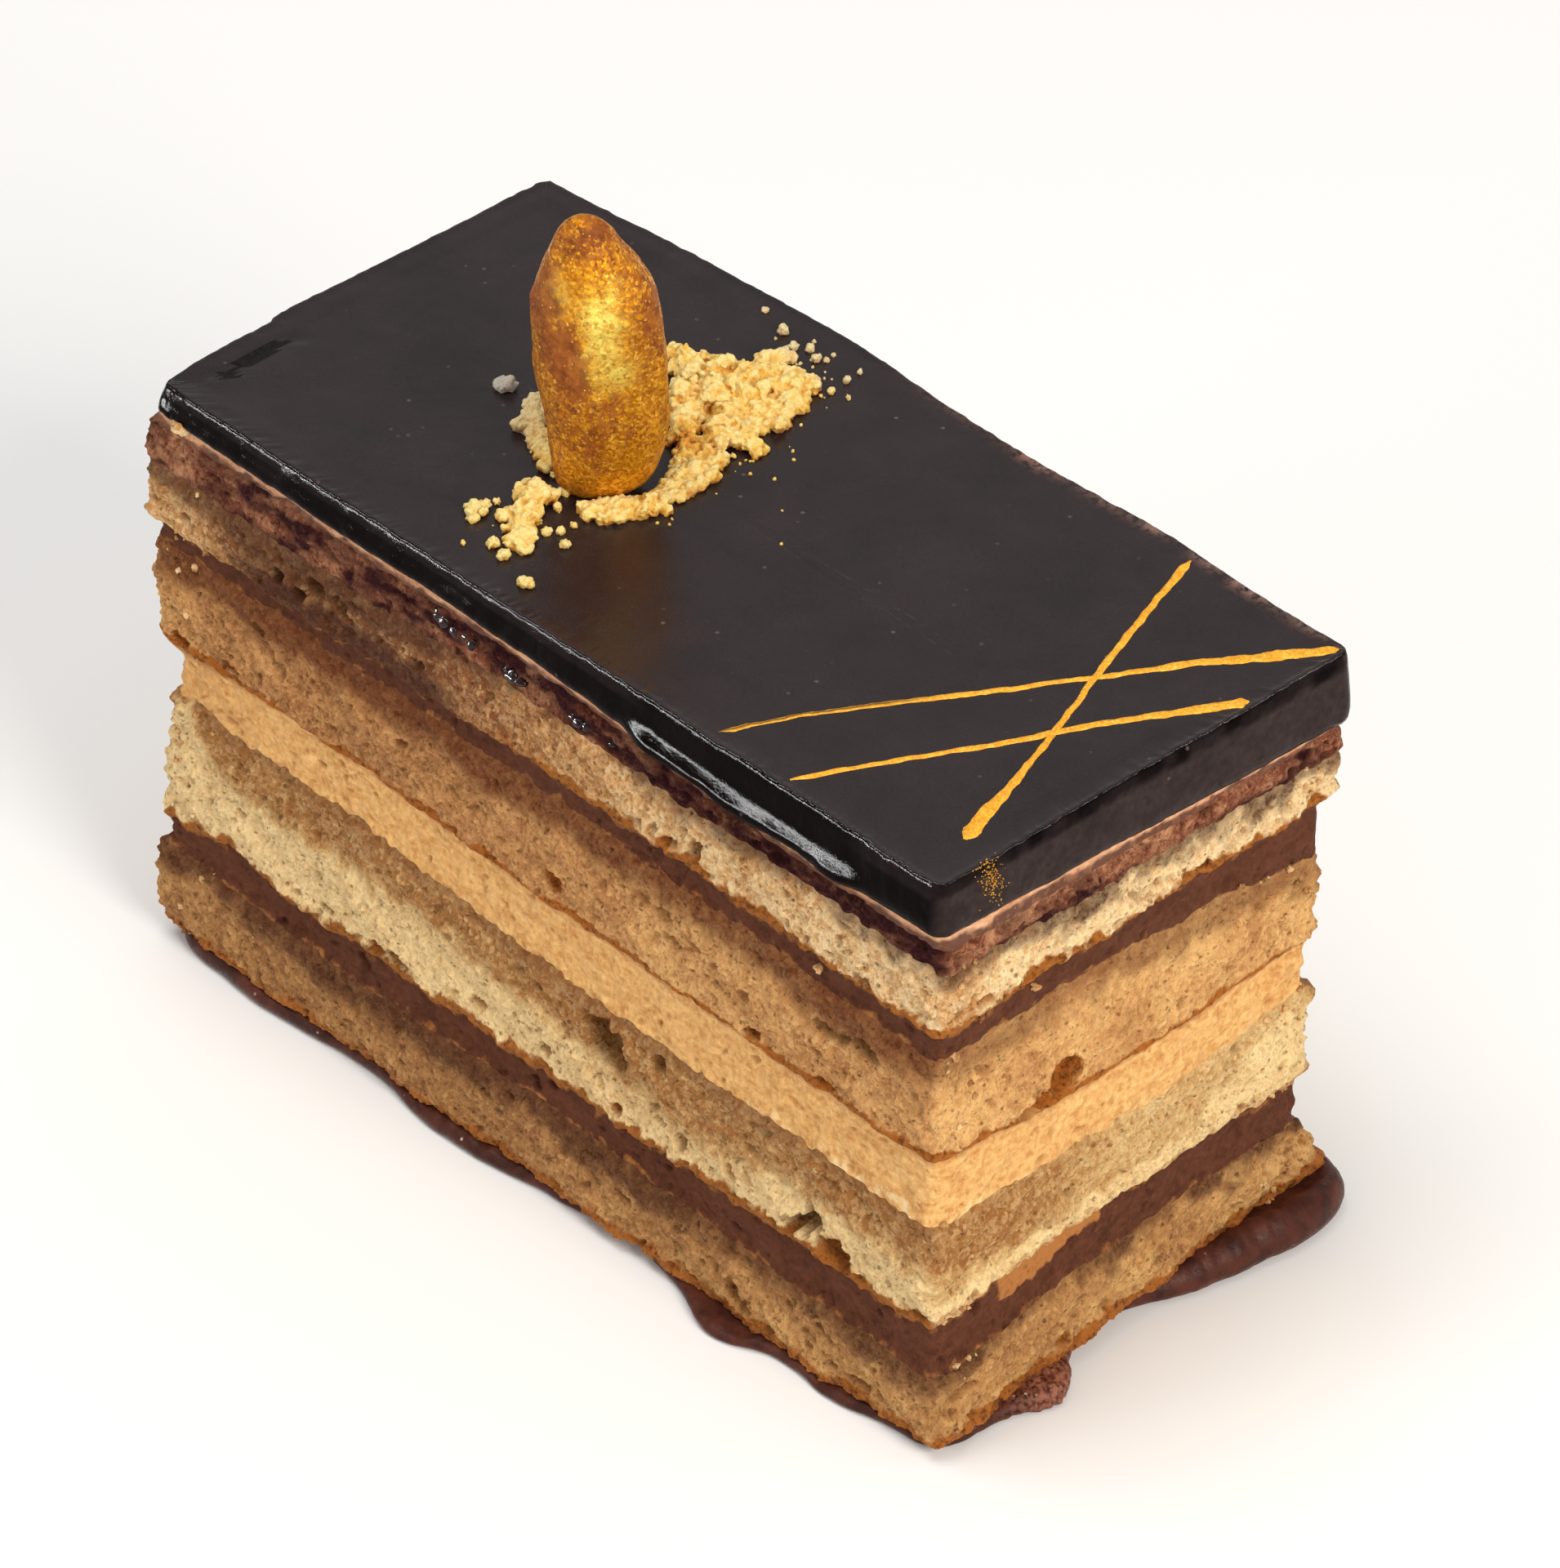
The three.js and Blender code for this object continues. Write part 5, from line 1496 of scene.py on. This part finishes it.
# Crumbs that lie apart: x, y, radius.
LOOSE = [
    (-9.8, -9.7, 0.45), (-8.0, -12.5, 0.45), (-7.4, -11.6, 0.35), (-5.8, -12.6, 0.5),
    (-9.7, -16.6, 0.6), (-7.9, -17.0, 0.55), (-4.1, -18.2, 0.7), (-13.7, -14.7, 0.9),
    (-13.8, -13.7, 0.55), (-13.3, -15.3, 0.5), (-13.6, -12.6, 0.32), (-11.4, -18.0, 0.24),
    (-11.0, -7.9, 0.5), (-13.1, -7.1, 0.4), (-7.3, -10.3, 0.32), (-18.3, 20.0, 0.32),
    (-15.2, 19.0, 0.5), (-13.1, 18.2, 0.42), (-12.0, 18.9, 0.42), (-10.7, 18.3, 0.5),
    (-10.0, 18.8, 0.32), (-10.2, 19.7, 0.24), (-12.6, 19.9, 0.18), (-7.1, 19.6, 0.3),
    (-6.9, 18.0, 0.42), (-6.7, 16.2, 0.4), (-5.2, 16.6, 0.25), (-15.0, 18.0, 0.16),
    (-6.5, 11.6, 0.25), (-3.0, 4.1, 0.2), (5.2, -0.3, 0.14), (2.1, 2.7, 0.12),
    (-5.1, 11.4, 0.16), (-2.5, -4.8, 0.16), (-15.9, 12.6, 0.3), (-3.0, 8.6, 0.15),
]
CLUSTER_FROM = 0.55
# A little dust of finer crumbs round the heaps: x, y, spread.
DUST = [(-6.0, 5.0, 4.0), (-9.5, 13.5, 4.0), (-10.5, -12.5, 3.2), (-4.6, -4.5, 2.6),
        (-17.0, -4.0, 2.6), (-14.5, 10.0, 3.0), (-10.0, 17.0, 3.0)]
DUST_EACH = 16
DUST_EDGE = 19.5


def loose_parts():
    rng = np.random.default_rng(77)
    parts = []
    for px, py, r in LOOSE:
        parts.append(lump((px, py, ground(px, py) + 0.55 * r), r * 0.85, rng, 0.4, LUMP_FINE, 2.0))
        for _ in range(5 if r > CLUSTER_FROM else 0):
            a = rng.random() * math.tau
            place = (px + r * 0.7 * math.cos(a), py + r * 0.7 * math.sin(a),
                     ground(px, py) + 0.45 * r)
            parts.append(lump(place, r * 0.45, rng, 0.4))
    for cx, cy, spread in DUST:
        for _ in range(DUST_EACH):
            px, py = rng.normal(cx, spread * 0.5), rng.normal(cy, spread * 0.5)
            if abs(py) > DUST_EDGE:
                continue
            r = rng.uniform(0.05, 0.17)
            parts.append(lump((px, py, ground(px, py) + 0.4 * r), r, rng))
    gx, gy, r = GREY_CRUMB
    for dx, dy, size in ((0, 0, 1.0), (0.5, 0.4, 0.6), (-0.6, 0.2, 0.55), (0.1, -0.6, 0.5)):
        place = (gx + dx * r, gy + dy * r, ground(gx, gy) + 0.4 * r)
        parts.append(lump(place, r * size * 0.8, rng, 0.5, LUMP_FINE))
    return parts


v, faces = joined(loose_parts())
add_mesh("crumbs_loose", v, faces, [crumble_mat], (),
         dict(tone=clamp01(crumble_tone_and_shade(v) + 0.15), grey=crumble_grey(v)))


# ---------------------------------------------------------------- crumbs and drops on the sides
# Squared distance from the nearest point, in mm, past which that point is used as it is.
OFF_FACE = 0.25


def surface_point(layers, face, at, height):
    """A place on some layers' faces, as far out as their nearest point, with its normal."""
    fx, fy = FACE_NORMALS[face]
    best, found = None, None
    for name in layers:
        grid = SURFACES[name]
        place = grid[:, 0] if fy else grid[:, 1]
        facing = grid[:, 3] * fx + grid[:, 4] * fy
        far = (place - at) ** 2 + (grid[:, 2] - height) ** 2 + 100 * (facing < 0.7)
        k = int(np.argmin(far))
        if best is None or far[k] < best:
            best, found = far[k], grid[k]
    normal = np.array([found[3], found[4], 0.0])
    if best > OFF_FACE:
        return found[:3], normal
    spot = (at, found[1], height) if fy else (found[0], at, height)
    return np.array(spot), normal


# Face, place along it, height, radius.
SIDE_CRUMBS = [
    ("front", -40.9, 52.4, 0.75), ("front", 31.2, 39.4, 0.45), ("side", -10.8, 39.6, 0.35),
    ("side", 11.2, 37.4, 0.3), ("side", -18.6, 36.8, 0.3), ("front", -43.2, 45.2, 0.4)]
DROPS = [("front", -11.2, 49.7, 0.55), ("front", -10.4, 49.5, 0.6), ("front", -9.2, 49.2, 0.5),
         ("front", -8.2, 49.0, 0.6), ("front", -7.4, 48.8, 0.5), ("front", -3.4, 48.7, 0.5),
         ("front", -2.6, 48.4, 0.65), ("front", -1.8, 48.3, 0.5), ("front", 4.0, 48.1, 0.5),
         ("front", 4.8, 47.9, 0.6), ("front", 5.6, 47.9, 0.5), ("front", 8.2, 47.7, 0.5)]
# Edges of the slice where the knife tore crumbs up: face, place along it.
TORN_EDGES = [("end", -19.8), ("side", -19.8), ("side", 19.6), ("front", -43.5)]


def stuck(places, layers, rng, rough, sink):
    parts = []
    for face, at, height, r in places:
        spot, normal = surface_point(layers, face, at, height)
        parts.append(lump(spot + normal * r * sink, r, rng, rough, LUMP_FINE))
    return parts


def side_crumb_parts():
    rng = np.random.default_rng(81)
    parts = stuck(SIDE_CRUMBS, ORDER[:-1], rng, 0.5, 0.3)
    for name in ORDER:
        if not name.startswith("sponge"):
            continue
        low, high = SURFACES[name][:, 2].min(), SURFACES[name][:, 2].max()
        for face, at in TORN_EDGES:
            for _ in range(int((high - low) * 0.9)):
                r = rng.uniform(0.1, 0.3)
                inward = -math.copysign(1, at) * abs(rng.normal(0, 2.2))
                spot, normal = surface_point([name], face, at + inward, rng.uniform(low, high))
                parts.append(lump(spot + normal * r * 0.25, r, rng, 0.45))
    return parts


v, faces = joined(side_crumb_parts())
none = np.zeros(len(v))
add_mesh("crumbs_on_sides", v, faces, [sponge_top_mat], (),
         dict(tone=clamp01(0.48 + 0.5 * noise(v, 0.6, 830)), stain=none, crust=none, pore_shade=none))
v, faces = joined(stuck(DROPS, ["cocoa_band", "mocha_cream", "glaze"],
                        np.random.default_rng(83), 0.18, -0.45))
none = np.zeros(len(v))
add_mesh("glaze_drops", v, faces, [drop_mat], (), dict(matte=none, rim=none))

# The middle of the rubbed-off gold on the short side of the glaze: place along it, height.
SPECKS_AT = (-16.1, 52.6)
SPECK_COUNT = 200
SPECK_BARE = 0.45


def gold_speck_parts():
    """Gold dust that has rubbed off on the short side of the glaze, near its front corner."""
    rng = np.random.default_rng(85)
    parts = []
    for _ in range(SPECK_COUNT):
        at = SPECKS_AT[0] + rng.normal(0, 0.6)
        height = SPECKS_AT[1] + rng.normal(0, 0.9) - 0.5 * (at - SPECKS_AT[0])
        spot, normal = surface_point(["glaze"], "side", at, height)
        r = rng.uniform(0.025, 0.085)
        parts.append(lump(spot + normal * 0.01, r, rng, 0.3, LUMP_TINY))
    return parts


v, faces = joined(gold_speck_parts())
add_mesh("gold_specks", v, faces, [gold_mat], (),
         dict(bare=np.full(len(v), SPECK_BARE)))

# ---------------------------------------------------------------- almond
ALMOND_LENGTH = 24.65
ALMOND_BREADTH = 5.3
ALMOND_THICKNESS = 4.05
ALMOND_BLUNT = 0.418
ALMOND_POINTED = 0.532
ALMOND_FOOT = (-8.4, -4.15)
ALMOND_SINK = 0.25
ALMOND_TURN = math.radians(42)
ALMOND_LEAN = math.radians(8)
ALMOND_TOWARDS = math.radians(206.3)
ALMOND_ROWS, ALMOND_COLUMNS = 170, 160
# From foot to tip: how much broader than the plain curve it is, and how far it bows sideways.
ALMOND_BROADER = [1.44, 1.12, 1.0, 0.945, 0.945, 0.96, 1.0, 1.06, 1.04, 0.95, 1.1]
ALMOND_BOW = [-1.6, -1.0, -0.52, -0.3, -0.22, -0.1, 0.05, 0.2, 0.2, 0.16, 0.2]
# Spots on its face: place across, share of its height, width, height, strength.
BROWN_SPOTS = [
    (-0.5, 0.61, 0.3, 0.09, 1.0), (-0.32, 0.52, 0.3, 0.09, 0.9), (-0.1, 0.22, 0.34, 0.08, 0.55),
    (-0.8, 0.8, 0.34, 0.13, 1.0), (0.92, 0.72, 0.28, 0.2, 0.65), (-0.4, 0.36, 0.4, 0.08, 0.3),
    (0.3, 0.35, 0.35, 0.08, 0.4), (0.2, 0.94, 0.7, 0.06, 0.5)]
# Painted highlights: pale spots painted where the light catches its face; they also add to the
# gold.
PAINTED_HIGHLIGHT_SPOTS = [(0.15, 0.73, 0.18, 0.06, 1.3), (0.18, 0.62, 0.22, 0.07, 1.0),
               (0.32, 0.51, 0.24, 0.055, 0.85), (-0.35, 0.79, 0.18, 0.06, 0.35)]
GOLD_SPOTS = [(0.6, 0.16, 0.3, 0.09, 0.8), (-0.5, 0.15, 0.4, 0.08, 0.4)]


def almond_bulge(s):
    peak = ALMOND_BLUNT / (ALMOND_BLUNT + ALMOND_POINTED)
    top = peak**ALMOND_BLUNT * (1 - peak) ** ALMOND_POINTED
    return np.maximum(s, 0) ** ALMOND_BLUNT * np.maximum(1 - s, 0) ** ALMOND_POINTED / top


def stood_up(v):
    """The almond's own points turned about its length, leant over and set on the glaze."""
    c, s = math.cos(ALMOND_TURN), math.sin(ALMOND_TURN)
    v = xyz(v[:, 0] * c - v[:, 1] * s, v[:, 0] * s + v[:, 1] * c, v[:, 2])
    axis = np.array([-math.sin(ALMOND_TOWARDS), math.cos(ALMOND_TOWARDS), 0.0])
    c, s = math.cos(ALMOND_LEAN), math.sin(ALMOND_LEAN)
    v = v * c + np.cross(axis, v) * s + axis * (v @ axis)[:, None] * (1 - c)
    return v + np.array([*ALMOND_FOOT, float(glaze_top(*ALMOND_FOOT)) - ALMOND_SINK])


def almond_mesh():
    t = np.linspace(0, 1, ALMOND_ROWS + 2)[1:-1]
    theta = np.arange(ALMOND_COLUMNS) / ALMOND_COLUMNS * math.tau
    share, theta = np.meshgrid(0.5 - 0.5 * np.cos(np.pi * t), theta, indexing="ij")
    share, theta = share.ravel(), theta.ravel()
    r = almond_bulge(share)
    # Across its breadth and its thickness, in half widths: its face looks to -thick.
    wide, thick = np.cos(theta) * r, np.sin(theta) * r
    broader = along(ALMOND_BROADER, share)
    flat = xyz(wide * ALMOND_BREADTH * broader + along(ALMOND_BOW, share),
               thick * ALMOND_THICKNESS * (0.5 + 0.5 * broader), share * ALMOND_LENGTH)
    # Long shallow wrinkles run from end to end and fade at both.
    twist = flat * [1.0, 1.0, 0.1]
    twist[:, 0] += 0.35 * noise(flat * [0.3, 0.3, 0.12], 1.0, 951)
    wrinkle = 0.16 * fbm(twist, 0.85, 3, 950, 0.6)
    knobs = 0.1 * fbm(flat, 0.35, 3, 952) + 0.025 * fbm(flat, 1.8, 2, 953)
    facing = clamp01(-thick * 1.4)
    ridge = 0.14 * dent(wide - 0.05, 0.12) * smooth(0.1, 0.4, share) * facing
    groove = -0.12 * dent(wide - 0.3 + 0.25 * share, 0.09) * facing
    groove -= 0.1 * dent(wide + 0.42 - 0.2 * share, 0.1) * facing
    fade = np.minimum(1, 3.5 * np.minimum(share + 0.05, 1.02 - share))
    push = (wrinkle + knobs + ridge + groove) * fade
    nx, ny = np.cos(theta) / ALMOND_BREADTH, np.sin(theta) / ALMOND_THICKNESS
    size = np.hypot(nx, ny)
    ends = np.array([[ALMOND_BOW[0], 0.0, 0.0], [ALMOND_BOW[-1], 0.0, ALMOND_LENGTH]])
    local = np.concatenate([flat + xyz(nx / size * push, ny / size * push, push * 0), ends])

    wide, thick = (np.concatenate([a, [0, 0]]) for a in (wide, thick))
    share = np.concatenate([share, [0, 1]])
    patchy = fbm(local, 0.35, 4, 960, 0.6)

    def spots(table):
        return sum(strength * dent(wide - at + 0.12 * patchy, width)
                   * dent(share - height + 0.03 * patchy, tall)
                   for at, height, width, tall, strength in table)

    # Painted highlight spots, which also raise the gold cover under them.
    painted_highlight = spots(PAINTED_HIGHLIGHT_SPOTS)
    gold = 0.62 + 0.5 * (painted_highlight + spots(GOLD_SPOTS)) - 0.8 * spots(BROWN_SPOTS) + 0.2 * patchy
    gold = np.where(thick < 0, gold, 0.5 + 0.35 * patchy)
    add_mesh("almond_detailed", stood_up(local), tube_faces(ALMOND_ROWS, ALMOND_COLUMNS),
             [almond_mat], ("almond",), dict(gold=clamp01(gold), painted_highlight_mask=clamp01(painted_highlight)))


def almond_material():
    s = Shader("gilded_almond")
    fine = s.noise(1.6, 5, 0.65)
    flakes = s.cell_values(4.4)
    edge = s.plus(s.attribute("gold"), s.swing(fine, 0.9))
    cover = s.span(s.math("SUBTRACT", edge, s.times(flakes[0], 0.55)), -0.05, 0.4)
    dust = s.ramp(s.plus(s.times(flakes[1], 0.5), s.times(fine, 0.55)),
                  [(0.15, "#9c5206"), (0.45, "#cc7e10"), (0.7, "#eea41e"), (0.95, "#ffda62")])
    skin = s.ramp(s.noise(0.9, 4, 0.65, 0.3),
                  [(0.3, "#6a340c"), (0.5, "#944e18"), (0.72, "#b8722a")])
    colour = s.mix(cover, skin, dust)
    # Painted highlight: where the light catches the almond, its colour is painted pale yellow.
    highlight_paint = s.times(s.attribute("painted_highlight_mask"), s.span(flakes[0], 0.2, 0.7, 0.3, 0.95))
    colour = s.mix(highlight_paint, colour, "#ffe870")
    glints = s.times(s.span(s.voronoi(2.2), 0.17, 0.1), s.span(fine, 0.44, 0.54))
    colour = s.mix(s.times(glints, 0.7), colour, "#ffe48c")
    rough = s.math("SUBTRACT", s.span(cover, 0.0, 1.0, 0.68, 0.42), s.times(flakes[2], 0.14))
    normal = s.bump(fine, 0.16, 0.6)
    normal = s.bump(s.times(flakes[1], cover), 0.08, 0.85, normal)
    normal = s.bump(s.noise(7.0, 2), 0.06, 0.6, normal)
    return s.finish(colour, rough, normal, 0.2, metallic=s.times(cover, 0.5))


almond_mat = almond_material()
almond_mesh()

# ---------------------------------------------------------------- floor, light and camera
FLOOR_HALF = 1.6
FLOOR_DROP = 0.00002
bpy.ops.mesh.primitive_plane_add(size=2 * FLOOR_HALF, location=(0, 0, -FLOOR_DROP))
floor = bpy.context.object
floor.name = "floor"
floor.data.materials.append(Shader("floor").finish((0.93, 0.925, 0.92, 1.0), 0.9, gloss=0.1))

scene = bpy.context.scene
scene.view_settings.view_transform = "Standard"
world = bpy.data.worlds.new("studio")
world.use_nodes = True
background = world.node_tree.nodes["Background"]
background.inputs["Color"].default_value = (1.0, 0.985, 0.97, 1)
background.inputs["Strength"].default_value = 0.47
scene.world = world

# The gloss lights reach nothing but the glaze and its drops.
glossy = bpy.data.collections.new("glossy")
for name in ("glaze_detailed", "glaze_drops"):
    glossy.objects.link(bpy.data.objects[name])


def softbox(name, place, size, power, colour=(1.0, 1.0, 1.0), aim=(0, 0, 0.03), gloss_only=False):
    light = bpy.data.lights.new(name, "AREA")
    light.shape = "RECTANGLE"
    light.size, light.size_y = size
    light.energy = power
    light.color = colour
    obj = bpy.data.objects.new(name, light)
    obj.location = place
    obj.rotation_euler = (Vector(aim) - Vector(place)).to_track_quat("-Z", "Y").to_euler()
    if gloss_only:
        obj.visible_diffuse = False
        obj.visible_camera = False
        obj.light_linking.receiver_collection = glossy
    scene.collection.objects.link(obj)


softbox("key_right", (0.9, -0.15, 0.6), (0.45, 0.45), 7.8, (1.0, 0.96, 0.88))
softbox("fill_left", (-0.25, -0.95, 0.5), (0.5, 0.06), 1.25)
softbox("overhead", (-0.2, -0.2, 1.1), (0.6, 0.6), 4.6)
# Seen only as reflections along the glaze's rounded edges and in its bead.
softbox("gloss_front", (-0.59, -0.58, 0.58), (0.35, 0.12), 26.0, gloss_only=True)
softbox("gloss_side", (0.6, 0.55, 0.6), (0.3, 0.1), 16.0, gloss_only=True)
# The low one stands below the glaze's top, which would mirror it towards the back.
softbox("gloss_low", (-0.223, -0.359, 0.022), (0.3, 0.03), 8.3, aim=(0.025, -0.022, 0.05),
        gloss_only=True)

CAMERA_PLACE = (0.471228, -0.437759, 0.505)
CAMERA_LOOKS = (-0.5865, 0.5494, -0.5952)
camera_data = bpy.data.cameras.new("camera")
camera_data.lens = 235.35
camera_data.sensor_width = 36.0
camera_data.clip_end = 20.0
camera = bpy.data.objects.new("camera", camera_data)
camera.location = CAMERA_PLACE
camera.rotation_euler = Vector(CAMERA_LOOKS).to_track_quat("-Z", "Y").to_euler()
scene.collection.objects.link(camera)
scene.camera = camera
